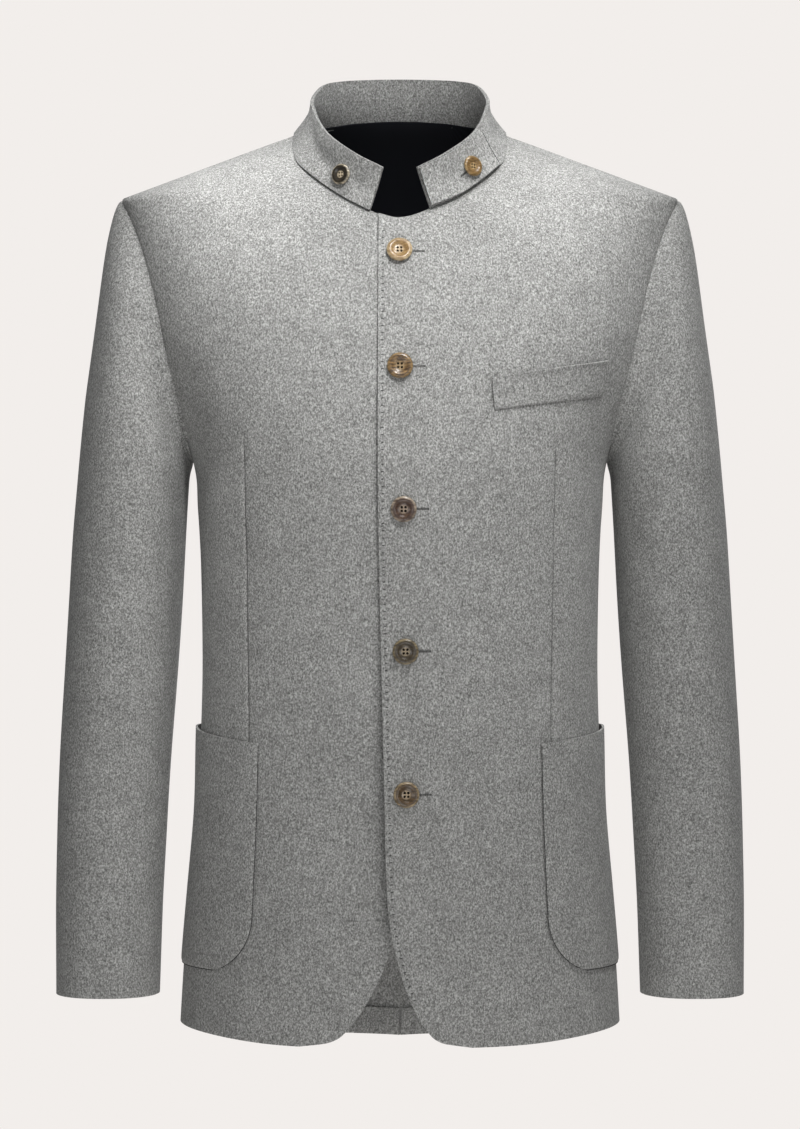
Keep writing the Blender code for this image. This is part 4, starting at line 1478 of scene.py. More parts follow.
@dataclass
class PatchPocket:
    """Patch pocket round the side, with round lower corners and a mouth that gapes a little."""

    front: FrontPanel
    mouth: tuple[Level, ...] = table(Level, (49, -495), (72, -489), (90, -485), (109, -485))
    first_angle: float = 49.0
    last_angle: float = 109.0
    low_z: float = -677.0
    tall: float = 191.0
    corner: float = 46.0
    gape: float = 2.0
    gape_at: float = 92.0
    gape_spread: float = 20.0
    gape_from: float = 0.6
    wall: float = 1.8
    sewn_gap: float = 0.25
    pressed: float = 4.0
    pressed_share: float = 0.3
    wall_edge: float = 0.5
    low_rows: tuple = (0.0, 0.4, 1.2, 2.6, 5.0, 8.0, 12.0)
    middle_rows: tuple = (17.0, 188.0, 44)
    mouth_row: float = 189.6
    grid_columns: int = 60
    fine_columns: tuple = (0.003, 0.008, 0.016)
    cut: Cut = Cut(0.178, 0.195, 0.0335)

    def __post_init__(self) -> None:
        """Reads the table of the mouth."""
        self.mouth_level = Curve(self.mouth, "level")

    def spot(self, share: Array, rise: Array) -> tuple[Array, Array]:
        """Angle and height of places on the pocket."""
        corner = np.clip(self.corner - rise, 0.0, self.corner)
        inset = self.corner - np.sqrt(self.corner**2 - corner**2)
        turn = np.degrees(inset / self.front.form.half_width(np.array(self.low_z)))
        phi = mix(self.first_angle + turn, self.last_angle - turn, share)
        return phi, mix(self.low_z, self.mouth_level(phi), rise / self.tall)

    def from_edge(self, share: Array, rise: Array) -> Array:
        """Distance from the pocket's sewn sides and bottom, as a share of the pressed margin."""
        half = self.front.form.half_width(np.array(self.low_z))
        width = math.radians(self.last_angle - self.first_angle) * half
        aside = np.minimum(share, 1.0 - share) * width
        return np.minimum(np.minimum(aside, rise) / self.pressed, 1.0)

    def thick(self, share: Array, rise: Array) -> Array:
        """Share of the full wall, which is thinner where the sewn edge is pressed."""
        margin = self.from_edge(share, rise)
        return mix(self.pressed_share, 1.0, np.sqrt(margin * (2.0 - margin)))

    def place(self, share: Array, rise: Array, out: float = 0.0) -> Array:
        """Points of the pocket's outer face over its front."""
        form = self.front.form
        phi, z = self.spot(share, rise)
        points = form.round_point(phi, z)
        gape = self.gape * np.exp(-(((phi - self.gape_at) / self.gape_spread) ** 2))
        gape = gape * ease(self.gape_from, 1.0, rise / self.tall)
        calm, _ = seam_shape(points, self.front.seams[:2])
        follow = calm * self.front.relief.height(points[:, 0], points[:, 2])
        follow = follow * (points[:, 1] < self.front.relief_back)
        gap = mix(self.sewn_gap, form.laid_on, ease(0.0, 1.0, self.from_edge(share, rise)))
        height = form.cloth + gap + gape + follow + self.wall * self.thick(share, rise) + out
        return points + form.normal(points) * height[:, None]

    def build(self, wall: ClothWall) -> None:
        """Builds the pocket."""
        shape = new_mesh()
        rows = np.array([*self.low_rows, *np.linspace(*self.middle_rows), self.mouth_row, self.tall])
        columns = densified(0.0, 1.0, self.grid_columns, (0.0, 1.0), self.fine_columns)
        side = self.front.side
        lay_grid(shape, columns, rows, self.place, side, self.thick)
        wall.make("pocket_" + side.word, shape, self.cut, "laid", rests_on=["front_" + side.word])


@dataclass
class BreastWelt:
    """Slanting welt of the breast pocket on the left front."""

    front: FrontPanel
    low_front: Pair = (73.5, -232.0)
    low_side: Pair = (161.0, -219.0)
    top_front: Pair = (71.0, -207.0)
    top_side: Pair = (163.0, -190.0)
    wall: float = 1.8
    sewn_gap: float = 0.25
    pressed: float = 0.14
    pressed_share: float = 0.3
    gape: float = 2.2
    gape_from: float = 0.15
    fold: float = 0.55
    fold_from: float = 0.85
    gap_reach: float = 0.25
    wall_edge: float = 0.85
    weave: Weave = Weave(44, (0.006, 0.016), 14, (0.02, 0.05))
    cut: Cut = Cut(0.095, 0.031, 0.0028)

    def thick(self, share: Array, rise: Array) -> Array:
        """Share of the full wall, which is thinner along the lower seam and fuller at the top fold."""
        margin = np.minimum(rise / self.pressed, 1.0)
        pressed = mix(self.pressed_share, 1.0, np.sqrt(margin * (2.0 - margin)))
        return pressed + self.fold * ease(self.fold_from, 1.0, rise)

    def place(self, share: Array, rise: Array) -> Array:
        """Points of the welt's outer face over its front."""
        low = mix(np.array(self.low_front), np.array(self.low_side), share[:, None])
        top = mix(np.array(self.top_front), np.array(self.top_side), share[:, None])
        spot = mix(low, top, rise[:, None])
        form = self.front.form
        points = form.face_point(spot[:, 0], spot[:, 1], Face.FRONT)
        calm, _ = seam_shape(points, self.front.seams)
        follow = calm * self.front.relief.height(points[:, 0], points[:, 2])
        gap = mix(self.sewn_gap, form.laid_on, ease(0.0, self.gap_reach, rise))
        bow = np.sqrt(np.sin(np.pi * np.clip(share, 0.0, 1.0)))
        gape = self.gape * ease(self.gape_from, 1.0, rise) * bow
        height = form.cloth + gap + gape + follow + self.wall * self.thick(share, rise)
        return points + form.normal(points) * height[:, None] - (0.0, form.seam / 2, 0.0)

    def build(self, wall: ClothWall) -> None:
        """Builds the welt."""
        shape = new_mesh()
        columns, rows = self.weave.columns(0.0, 1.0), self.weave.rows(0.0, 1.0)
        lay_grid(shape, columns, rows, self.place, thick=self.thick)
        wall.make("breast_welt", shape, self.cut, "laid", rests_on=["front_left"])


# Sewing, with dark rows and slits that partly paint shade


STITCH_SIDES = (6, 4)
STITCH_STEP = 0.5


def basis(along: Vector, out: Vector) -> Matrix:
    """Turn that lays X along a direction and Z along the way out."""
    out = out.normalized()
    aside = out.cross(along).normalized()
    return Matrix((aside.cross(out), aside, out)).transposed().to_4x4()


def add_stitch(shape: Mesh, place: Array, along: Array, out: Array, size: tuple) -> None:
    """Adds one stitch, a short rounded bit of thread.

    Args:
        shape: Mesh that gets the stitch.
        place: Its middle, in millimetres.
        along: Direction of its thread.
        out: Direction out of the cloth.
        size: Half length, half width and half height, in millimetres.
    """
    rounds, rings = STITCH_SIDES
    made = bmesh.ops.create_uvsphere(shape, u_segments=rounds, v_segments=rings, radius=1.0)
    turn = basis(Vector(along), Vector(out))
    moved = Matrix.Translation(Vector(place) * MM) @ turn @ Matrix.Diagonal((*(MM * s for s in size), 1.0))
    bmesh.ops.transform(shape, matrix=moved, verts=made["verts"])


def sew_row(shape: Mesh, path: Array, outs: Array, spacing: float, size: tuple) -> None:
    """Sews evenly spaced stitches along a path.

    Args:
        shape: Mesh that gets the stitches.
        path: Points of the path, in millimetres.
        outs: Directions out of the cloth at these points.
        spacing: Distance between stitches.
        size: Half sizes of a stitch.
    """
    steps = np.linalg.norm(np.diff(path, axis=0), axis=1)
    run = np.concatenate([[0.0], np.cumsum(steps)])

    def along(values: Array, distance: float) -> Array:
        """Value at a distance along the path."""
        return np.array([np.interp(distance, run, values[:, axis]) for axis in range(3)])

    for distance in np.arange(spacing / 2, run[-1], spacing):
        way = along(path, distance + STITCH_STEP) - along(path, distance - STITCH_STEP)
        add_stitch(shape, along(path, distance), way, along(outs, distance), size)


@dataclass
class Sewing:
    """Prick stitches of the front edge, stitching of the darts, dark pocket rows that are partly stitching
    and partly painted shade, a dark row at the tab's end as painted shade, and worked buttonholes whose dark
    slits are painted shade.
    """

    fronts: dict[Side, FrontPanel]
    collar: Collar
    edge_inset: float = 3.6
    edge_spacing: float = 5.8
    edge_stitch: tuple = (0.5, 1.3, 0.2)
    edge_rows: tuple = (-88.0, -700.0, 240)
    pocket_inset: float = 0.5
    pocket_half: float = 160.0
    pocket_top: float = 2.0
    pocket_out: float = 0.03
    pocket_steps: Grid = (60, 40)
    pocket_spacing: float = 2.4
    pocket_stitch: tuple = (1.9, 0.5, 0.2)
    dart_stitch: tuple = (1.9, 0.42, 0.2)
    dart_rows: tuple = (-262.0, -482.0, 60)
    hole_start: float = 4.0
    hole_end: float = 18.8
    hole_half: float = 0.13
    hole_out: float = 0.12
    hole_wall: float = 0.12
    hole_grid: Grid = (19, 3)
    purl_spacing: float = 0.75
    purl_stitch: tuple = (0.5, 0.3, 0.16)
    purl_aside: float = 0.45
    purl_step: float = 0.2
    bar_places: tuple = (-0.2, 0.2, 0.6)
    bar_from: float = 0.3
    bar_stitch: tuple = (1.1, 0.3, 0.26)
    tab_hole_end: float = 14.0
    tab_fall: float = 0.002
    tab_row: float = 0.965
    tab_rows: tuple = (0.06, 0.9, 40)

    def sew(
        self, name: str, side: Side, path: Array, outs: Array, stitch: tuple, material: Material
    ) -> None:
        """Sews one row of stitches as a piece of its own.

        Args:
            name: Name of the piece.
            side: Side that it is on; the right one is mirrored.
            path: Points of the row, worked out as on the left.
            outs: Directions out of the cloth at these points.
            stitch: Half sizes of a stitch.
            material: Finish of the thread.
        """
        shape = bmesh.new()
        sign = (side.value, 1.0, 1.0)
        spacing = self.edge_spacing if stitch is self.edge_stitch else self.pocket_spacing
        sew_row(shape, path * sign, outs * sign, spacing, stitch)
        report(finish_object(name, shape, material))

    def build_edges(self, material: Material) -> None:
        """Sews the prick stitches of the left front edge."""
        front = self.fronts[Side.LEFT]
        z = np.linspace(*self.edge_rows)
        path = front.outside(-front.edge(z) + self.edge_inset, z)
        outs = front.form.normal(path)
        self.sew("front_edge_stitches", Side.LEFT, path, outs, self.edge_stitch, material)

    def build_pockets(self, pockets: Sequence[PatchPocket], material: Material) -> None:
        """Sews each pocket along its sides and round its lower corners, in dark, nearly closed rows that are
        partly the real stitching and partly painted shade for the shadow line at the pocket's edge.
        """
        for pocket in pockets:
            side, inset = pocket.front.side, self.pocket_inset
            start = inset / (math.radians(pocket.last_angle - pocket.first_angle) * self.pocket_half)
            down, across = self.pocket_steps
            top = pocket.tall - self.pocket_top
            rise = np.concatenate([np.linspace(top, inset, down), np.full(across, inset)])
            share = np.concatenate([np.full(down, start), np.linspace(start, 0.5, across)])
            rise = np.concatenate([rise, rise[::-1]])
            share = np.concatenate([share, 1.0 - share[::-1]])
            # Dark, nearly closed rows: real stitching, and also painted shade for the shadow line at the
            # pocket's edge.
            path = pocket.place(share, rise, self.pocket_out)
            outs = pocket.front.form.normal(path)
            self.sew("pocket_stitches_" + side.word, side, path, outs, self.pocket_stitch, material)

    def build_darts(self, material: Material) -> None:
        """Sews the dart of each front, from its point down to the pocket."""
        for side, front in self.fronts.items():
            z = np.linspace(*self.dart_rows)
            path = front.outside(front.dart_line(z), z)
            outs = front.form.normal(path)
            self.sew("dart_stitches_" + side.word, side, path, outs, self.dart_stitch, material)

    def build_tab(self, material: Material) -> None:
        """Lays a row of dark stitches along the end of the collar's tab as painted shade: the tab's end is
        buttoned, not sewn, and the row stands in for the shadow line behind its edge.
        """
        collar = self.collar
        height = np.linspace(*self.tab_rows)
        share = np.full_like(height, self.tab_row)
        at = share * mix(collar.tab_end_low, collar.tab_end_high, height)
        outs = collar.normal(at, height, Side.LEFT)
        # Painted shade: this dark row stands in for the shadow line behind the tab's end.
        self.sew("tab_end_shade_stitches", Side.LEFT, collar.tab(share, height), outs, self.dart_stitch, material)

    def work_hole(
        self, name: str, place: Place, end: float, slit: Material, thread: Material
    ) -> None:
        """Builds one worked buttonhole: a thin dark strip as painted shade in its slit, and purled thread
        round it.

        Args:
            name: Name of the buttonhole.
            place: Gives points over the cloth for a distance along the hole and one across it.
            end: Distance of its far end from the button's middle.
            slit: Finish of the thin dark strip that stands for the slit, painted shade of its opening.
            thread: Finish of the purled thread.
        """
        shape = new_mesh()
        along = np.linspace(self.hole_start, end, self.hole_grid[0])
        lay_grid(shape, along, np.linspace(-self.hole_half, self.hole_half, self.hole_grid[1]), place)
        # Painted shade: the thin dark strip stands in for the shade inside the slit's opening.
        piece = finish_object(name + "_slit", shape, slit)
        solid = piece.modifiers.new("slit", "SOLIDIFY")
        solid.thickness = self.hole_wall * MM
        solid.offset = 0.0
        report(piece)
        half = self.hole_half + self.purl_aside
        steps = np.arange(self.hole_start, end, self.purl_spacing)
        spots = [(step, edge * half, self.purl_stitch) for edge in (-1.0, 1.0) for step in steps]
        spots += [(end + self.bar_from + step, 0.0, self.bar_stitch) for step in self.bar_places]
        shape = bmesh.new()
        for step, aside, size in spots:
            here = np.array([step, step + self.purl_step, step])
            middle, ahead, across = place(here, aside + np.array([0.0, 0.0, self.purl_step]))
            out = np.cross(ahead - middle, across - middle)
            add_stitch(shape, middle, across - middle, out, size)
        report(finish_object(name + "_purl", shape, thread))

    def build_holes(
        self, buttons: Sequence[Pair], slit: Material, thread: Material
    ) -> None:
        """Works the buttonholes of the left front and of the tab."""
        front = self.fronts[Side.LEFT]
        for number, (x, z) in enumerate(buttons, 1):

            def on_front(along: Array, aside: Array, x: float = x, z: float = z) -> Array:
                """Points over the left front, from the button towards the side."""
                return front.outside(x + along, z + aside + 0.0 * along, self.hole_out)

            self.work_hole(f"buttonhole_{number}", on_front, self.hole_end, slit, thread)
        at, height = self.collar.button_spots[Side.LEFT]
        out = self.collar.wall + front.form.laid_on + self.collar.tab_wall + self.hole_out

        def on_tab(along: Array, aside: Array) -> Array:
            """Points over the tab, from its button towards the collar's end."""
            rise = height - along * self.tab_fall - aside / self.collar.rise
            return self.collar.half(at - along / self.collar.run, rise, Side.LEFT, out)

        self.work_hole("buttonhole_tab", on_tab, self.tab_hole_end, slit, thread)


# Buttons


class ButtonStep(NamedTuple):
    """Step of a button's turned profile, as shares of its radius."""

    radius: float
    height: float


HORN_LOOKS = {
    "button_front_1": HornFinish(
        "tan_horn",
        (0.21, 0.125, 0.05), (0.36, 0.235, 0.1), (0.5, 0.4, 0.25), (0.4, 0.29, 0.16), 0.4, 0.6,
    ),
    "button_front_2": HornFinish(
        "flamed_horn",
        (0.06, 0.034, 0.016), (0.27, 0.165, 0.065), (0.3, 0.2, 0.09), (0.3, 0.21, 0.11), 0.9, 0.5,
    ),
    "button_front_3": HornFinish(
        "brown_horn",
        (0.05, 0.026, 0.017), (0.1, 0.055, 0.032), (0.4, 0.33, 0.25), (0.3, 0.23, 0.17), 2.1, 0.4,
    ),
    "button_front_4": HornFinish(
        "dark_horn",
        (0.042, 0.03, 0.016), (0.08, 0.058, 0.03), (0.3, 0.24, 0.14), (0.3, 0.24, 0.16), 3.3, 0.35,
    ),
    "button_front_5": HornFinish(
        "umber_horn",
        (0.06, 0.037, 0.016), (0.14, 0.085, 0.04), (0.45, 0.35, 0.21), (0.36, 0.27, 0.17), 4.2, 0.4,
    ),
    "button_collar": HornFinish(
        "black_horn",
        (0.016, 0.012, 0.007), (0.05, 0.038, 0.021), (0.5, 0.43, 0.31), (0.5, 0.42, 0.3), 5.2, 0.3,
    ),
    "button_tab": HornFinish(
        "golden_horn",
        (0.13, 0.073, 0.024), (0.27, 0.165, 0.06), (0.3, 0.2, 0.08), (0.4, 0.28, 0.14), 1.4, 0.5,
    ),
}


@dataclass
class Button:
    """Turned horn button with four thread holes, sewn on with thread."""

    node: str
    finish: HornFinish
    profile: tuple[ButtonStep, ...] = table(
        ButtonStep, (0.0, 0.235), (0.3, 0.235), (0.46, 0.255), (0.58, 0.32), (0.7, 0.375), (0.82, 0.37),
        (0.93, 0.32), (1.0, 0.21), (0.97, 0.1), (0.84, 0.0), (0.0, 0.0),
    )
    sides: int = 48
    weld: float = 1e-6
    sharp: float = 42.0
    hole_turns: tuple = (45.0, 135.0, 225.0, 315.0)
    hole_sides: int = 14
    hole_radius: float = 0.105
    hole_spread: float = 0.2
    thread_share: float = 0.85
    thread_depth: float = 0.15
    thread_sides: Grid = (10, 6)

    def seat(self) -> tuple[Matrix, float]:
        """Reads the button's place, turn and radius from its node.

        Returns:
            The matrix from the button's own frame to the jacket's, and its radius in metres.
        """
        points = np.array([vert.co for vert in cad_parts[self.node].data.vertices])
        middle = points.mean(0)
        _, axes = np.linalg.eigh(np.cov((points - middle).T))
        out = axes[:, 0] * (-1.0 if axes[1, 0] > 0 else 1.0)
        heights = (points - middle) @ out
        radius = float(np.linalg.norm((points - middle) - heights[:, None] * out, axis=1).max())
        place = Vector(middle + out * heights.min())
        return Matrix.Translation(place) @ basis(Vector((1.0, 0.0, 0.0)), Vector(out)), radius

    def holes(self, radius: float) -> list[Pair]:
        """Middles of the thread holes in the button's own frame."""
        spread = self.hole_spread * radius
        angles = [math.radians(turn) for turn in self.hole_turns]
        return [(math.cos(angle) * spread, math.sin(angle) * spread) for angle in angles]

    def turned(self, radius: float) -> Mesh:
        """Turned body of the button in its own frame."""
        shape = bmesh.new()
        verts = [shape.verts.new((step.radius * radius, 0.0, step.height * radius)) for step in self.profile]
        edges = [shape.edges.new(pair) for pair in zip(verts, verts[1:])]
        bmesh.ops.spin(
            shape,
            geom=verts + edges,
            cent=(0.0, 0.0, 0.0),
            axis=(0.0, 0.0, 1.0),
            angle=math.tau,
            steps=self.sides,
            use_merge=True,
        )
        bmesh.ops.remove_doubles(shape, verts=shape.verts, dist=self.weld)
        bmesh.ops.recalc_face_normals(shape, faces=shape.faces)
        return shape

    def drill(self, radius: float) -> Mesh:
        """Four pegs that cut the thread holes."""
        shape = bmesh.new()
        size = self.hole_radius * radius
        for x, y in self.holes(radius):
            made = bmesh.ops.create_cone(
                shape, cap_ends=True, segments=self.hole_sides, radius1=size, radius2=size, depth=2.0 * radius
            )
            bmesh.ops.translate(shape, verts=made["verts"], vec=(x, y, 0.0))
        return shape

    def build(self, thread: Material) -> None:
        """Builds the button and its thread in their place on the cloth."""
        matrix, radius = self.seat()
        body = as_object(self.node + "_body", self.turned(radius))
        pegs = as_object(self.node + "_pegs", self.drill(radius))
        cut = body.modifiers.new("holes", "BOOLEAN")
        cut.operation = "DIFFERENCE"
        cut.solver = "EXACT"
        cut.object = pegs
        graph = bpy.context.evaluated_depsgraph_get()
        shape = bmesh.new()
        shape.from_mesh(body.evaluated_get(graph).data)
        for part in (body, pegs):
            bpy.data.objects.remove(part, do_unlink=True)
        self.map_flat(shape, radius)
        shape.transform(matrix)
        piece = finish_object(self.node + "_horn", shape, self.finish.material())
        piece.data.set_sharp_from_angle(angle=math.radians(self.sharp))
        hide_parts(self.node)
        report(piece)
        self.sew(matrix, radius, thread)

    def map_flat(self, shape: Mesh, radius: float) -> None:
        """Lays the button's map flat over it, with the axis in the middle."""
        flat = shape.loops.layers.uv.new("flat")
        for face in shape.faces:
            for loop in face.loops:
                loop[flat].uv = (0.5 + 0.5 * loop.vert.co.x / radius, 0.5 + 0.5 * loop.vert.co.y / radius)

    def sew(self, matrix: Matrix, radius: float, thread: Material) -> None:
        """Fills the holes with the dark thread that holds the button."""
        shape = bmesh.new()
        top = (self.profile[0].height - self.thread_depth) * radius
        size = self.hole_radius * self.thread_share * radius
        rounds, rings = self.thread_sides
        for x, y in self.holes(radius):
            made = bmesh.ops.create_uvsphere(shape, u_segments=rounds, v_segments=rings, radius=size)
            bmesh.ops.translate(shape, verts=made["verts"], vec=(x, y, top))
        shape.transform(matrix)
        report(finish_object(self.node + "_thread", shape, thread))


# Studio


class Beam(Enum):
    """Kinds of lamp."""

    PANEL = "AREA"
    SPOT = "SPOT"


class Lamp(NamedTuple):
    """A soft lamp: its size is the width of a panel or of a spot, and the angle is a spot's beam."""

    name: str
    kind: Beam
    place: tuple
    aim: tuple
    size: float
    power: float
    angle: float = 180.0


@dataclass
class Studio:
    """Pale floor, soft light from above in front, and the camera."""

    camera_place: tuple = (0.0, -3.0, -0.353)
    lens: float = 116.7
    sensor: float = 36.0
    floor_level: float = -1.5
    floor_radius: float = 0.85
    floor_sides: int = 96
    backdrop: tuple = (0.888, 0.855, 0.831)
    ambient: float = 0.15
    lamps: tuple[Lamp, ...] = (
        Lamp("key", Beam.PANEL, (0.85, -0.95, 2.5), (0.0, -0.1, -0.25), 0.7, 43.0),
        Lamp("left_fill", Beam.PANEL, (1.1, -2.4, -0.5), (0.0, 0.0, -0.353), 0.9, 8.3),
        Lamp("right_fill", Beam.PANEL, (-1.1, -2.4, -0.5), (0.0, 0.0, -0.353), 0.9, 8.6),
        Lamp("hem_fill", Beam.PANEL, (0.0, -1.8, -1.4), (0.0, 0.0, -0.6), 0.8, 6.5),
        Lamp("back_fill", Beam.PANEL, (0.3, 2.6, 0.9), (0.0, 0.0, -0.3), 1.6, 42.0),
        Lamp("chest", Beam.SPOT, (0.3, -1.2, 0.95), (0.0, -0.1, -0.15), 0.16, 111.0, 16.6),
        Lamp("neck", Beam.SPOT, (0.0, -1.0, 1.0), (0.0, 0.045, 0.01), 0.06, 44.0, 8.0),
        Lamp("left_shoulder", Beam.SPOT, (0.2, -0.5, 1.6), (0.138, -0.05, -0.07), 0.08, 198.0, 5.9),
        Lamp("right_shoulder", Beam.SPOT, (-0.2, -0.5, 1.6), (-0.14, -0.05, -0.07), 0.08, 276.0, 5.9),
    )

    def build_floor(self) -> None:
        """Builds the floor."""
        shape = bmesh.new()
        bmesh.ops.create_circle(shape, cap_ends=True, segments=self.floor_sides, radius=self.floor_radius)
        bmesh.ops.translate(shape, verts=shape.verts, vec=(0.0, 0.0, self.floor_level))
        floor = as_object("floor", shape)
        floor.data.materials.append(FloorFinish().material())

    def add_lamp(self, lamp: Lamp) -> None:
        """Hangs one lamp and turns it to what it lights."""
        source = bpy.data.lights.new(lamp.name, lamp.kind.value)
        source.energy = lamp.power
        if lamp.kind is Beam.PANEL:
            source.shape = "DISK"
            source.size = lamp.size
        else:
            source.shadow_soft_size = lamp.size
            source.spot_size = math.radians(lamp.angle)
            source.spot_blend = 1.0
        light = bpy.data.objects.new(lamp.name, source)
        light.location = lamp.place
        way = Vector(lamp.aim) - Vector(lamp.place)
        light.rotation_euler = way.to_track_quat("-Z", "Y").to_euler()
        bpy.context.scene.collection.objects.link(light)

    def build_world(self) -> None:
        """Sets the pale backdrop, dimmer as light than as it shows."""
        world = bpy.data.worlds.new("studio")
        world.use_nodes = True
        tree = world.node_tree
        shown = tree.nodes["Background"]
        shown.inputs["Color"].default_value = (*self.backdrop, 1.0)
        shown.inputs["Strength"].default_value = 1.0
        dim = tree.nodes.new("ShaderNodeBackground")
        dim.inputs["Color"].default_value = (1.0, 1.0, 1.0, 1.0)
        dim.inputs["Strength"].default_value = self.ambient
        path = tree.nodes.new("ShaderNodeLightPath")
        joined = tree.nodes.new("ShaderNodeMixShader")
        tree.links.new(path.outputs["Is Camera Ray"], joined.inputs[0])
        tree.links.new(dim.outputs["Background"], joined.inputs[1])
        tree.links.new(shown.outputs["Background"], joined.inputs[2])
        tree.links.new(joined.outputs["Shader"], tree.nodes["World Output"].inputs["Surface"])
        bpy.context.scene.world = world

    def build(self) -> None:
        """Builds the floor, the lights and the camera."""
        scene = bpy.context.scene
        self.build_floor()
        self.build_world()
        for lamp in self.lamps:
            self.add_lamp(lamp)
        lens = bpy.data.cameras.new("camera")
        lens.lens = self.lens
        lens.sensor_width = self.sensor
        camera = bpy.data.objects.new("camera", lens)
        camera.location = self.camera_place
        camera.rotation_euler = (math.radians(90.0), 0.0, 0.0)
        scene.collection.objects.link(camera)
        scene.camera = camera
        scene.view_settings.view_transform = "Standard"
        scene.view_settings.look = "None"


FRONT_BUTTONS = ((-0.4, -107.0), (0.0, -198.0), (2.8, -309.0), (4.3, -421.0), (4.7, -534.0))

FRONT_RELIEFS = {
    Side.LEFT: creased(
        ((12, -108), (92, -92), 15, 1.8, 4), ((182, -168), (150, -292), 15, 2.0, 5),
        ((152, -150), (112, -232), 18, 0.7, -4), ((160, -310), (100, -352), 13, 0.8, 3),
        ((92, -372), (30, -402), 15, 0.7, -3), ((70, -560), (84, -720), 16, -1.2, 4),
        ((40, -470), (52, -640), 18, 0.9, -3),
    ),
    Side.RIGHT: creased(
        ((18, -106), (80, -90), 15, 1.5, 4), ((180, -174), (152, -302), 16, 2.1, 4),
        ((148, -140), (104, -240), 19, 0.8, -5), ((158, -330), (92, -372), 14, 0.9, 3),
        ((86, -400), (28, -425), 15, 0.6, -3), ((82, -555), (96, -716), 17, -1.1, 3),
        ((48, -480), (40, -650), 19, 0.9, 3), ((13, -360), (0, -720), 13, 4.0, 2),
        ((20, -150), (15, -640), 6, 2.2, 0),
    ),
}
BACK_RELIEFS = {
    Side.LEFT: creased(
        ((188, -100), (128, -290), 18, 2.6, -5), ((30, -70), (120, -92), 16, 1.0, 5),
        ((140, -330), (40, -372), 15, 1.3, 4), ((120, -398), (52, -418), 13, 0.9, -3),
        ((70, -500), (86, -735), 20, -1.8, 5), ((120, -520), (130, -720), 18, 1.4, -4),
    ),
    Side.RIGHT: creased(
        ((186, -108), (134, -300), 17, 2.4, -5), ((34, -62), (124, -88), 17, 1.1, 4),
        ((146, -345), (52, -380), 16, 1.2, 4), ((112, -405), (40, -430), 14, 1.0, -3),
        ((62, -510), (80, -738), 21, -1.7, 4), ((112, -540), (124, -725), 18, 1.3, -4),
    ),
}
SLEEVE_RELIEFS = {
    Side.LEFT: creased(
        ((98, -112), (74, -262), 19, 3.2, 4), ((20, -95), (12, -210), 20, 1.1, -4),
        ((128, -330), (62, -392), 15, 1.6, 4), ((134, -382), (78, -428), 13, 1.2, -3),
        ((-60, -300), (-84, -430), 18, 1.4, 4), ((40, -470), (62, -640), 20, -1.2, 4),
        ((96, -500), (88, -660), 17, 1.1, -3),
    ),
    Side.RIGHT: creased(
        ((96, -106), (76, -258), 20, 3.3, 4), ((16, -90), (14, -220), 19, 1.2, -4),
        ((126, -345), (58, -402), 15, 1.5, 4), ((132, -398), (84, -446), 14, 1.2, -3),
        ((-56, -310), (-80, -440), 18, 1.4, 4), ((44, -480), (58, -650), 20, -1.1, 4),
        ((92, -490), (94, -650), 18, 1.2, -3),
    ),
}
COLLAR_RELIEF = Relief(
    (
        Crease((-116, 25), (-42, 17), 10, 4.0, 2),
        Crease((-72, 20), (-4, 17), 8, 2.0, -1),
        Crease((-112, 36), (-90, 22), 7, 0.9, 1),
        Crease((102, 18), (126, 20), 8, 1.4, 1),
        Crease((6, 20), (84, 18), 8, 1.4, 1),
        Crease((94, -14), (101, 56), 2.4, 1.7, 0),
    ),
    (Wave(0.05, 0.08, 0.6, 0.12), Wave(-0.083, 0.05, 2.2, 0.1)),
)


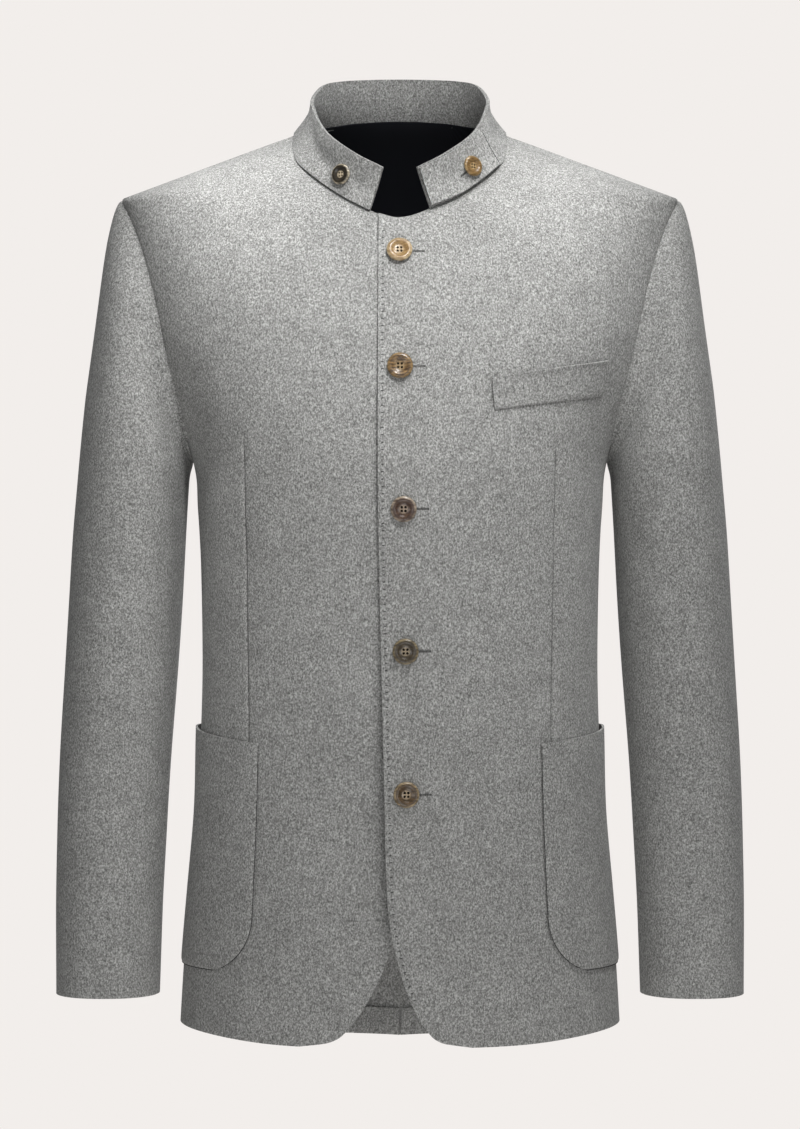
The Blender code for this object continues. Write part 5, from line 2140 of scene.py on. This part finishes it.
def build_jacket() -> None:
    """Builds the jacket's cloth, sewing and buttons."""
    form = BodyForm()
    loden = LodenFinish().material()
    lining = LiningFinish().material()
    grey_thread = ThreadFinish("grey_thread", (0.11, 0.11, 0.105)).material()
    # Near-black thread of the darts and pockets, also used as painted shade: the pocket rows and the tab's
    # end row stand in for shadow lines.
    seam_thread_and_painted_shade = ThreadFinish("seam_thread_and_painted_shade", (0.04, 0.04, 0.039)).material()
    # Dark thread of the front edge's prick stitches, also used as the painted shade of the buttonhole slits.
    edge_thread_and_slit_shade = ThreadFinish("dark_slit", (0.07, 0.07, 0.068)).material()
    brown_thread = ThreadFinish("brown_thread", (0.02, 0.014, 0.008)).material()
    fronts = {side: FrontPanel(form, side, FRONT_RELIEFS[side]) for side in Side}
    backs = {side: BackPanel(form, side, BACK_RELIEFS[side]) for side in Side}
    panel = ClothWall(form.cloth, form.cloth_edge, loden)
    for side in Side:
        fronts[side].build(panel)
        backs[side].build(panel)
        Sleeve(form, side, SLEEVE_RELIEFS[side]).build(panel)
    inside = BackInside(backs)
    inside.build_hems(ClothWall(inside.hem_wall, inside.hem_edge, loden))
    inside.build_lining(ClothWall(inside.lining_wall, inside.lining_edge, lining, Slot.LINING))
    collar = Collar(form, fronts, COLLAR_RELIEF)
    tab_wall = ClothWall(collar.tab_wall, collar.tab_edge, loden)
    collar.build(ClothWall(collar.wall, collar.wall_edge, loden), tab_wall)
    pockets = [PatchPocket(fronts[side]) for side in Side]
    for pocket in pockets:
        pocket.build(ClothWall(pocket.wall, pocket.wall_edge, loden))
    welt = BreastWelt(fronts[Side.LEFT])
    welt.build(ClothWall(welt.wall, welt.wall_edge, loden))
    sewing = Sewing(fronts, collar)
    sewing.build_edges(edge_thread_and_slit_shade)
    sewing.build_tab(seam_thread_and_painted_shade)
    sewing.build_pockets(pockets, seam_thread_and_painted_shade)
    sewing.build_darts(seam_thread_and_painted_shade)
    sewing.build_holes(FRONT_BUTTONS, edge_thread_and_slit_shade, grey_thread)
    for node, finish in HORN_LOOKS.items():
        Button(node, finish).build(brown_thread)


def main() -> None:
    """Builds the jacket and its studio in order."""
    logging.basicConfig(level=logging.INFO, format="%(message)s")
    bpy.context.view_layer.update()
    build_jacket()
    Studio().build()


if __name__ == "__main__":
    main()
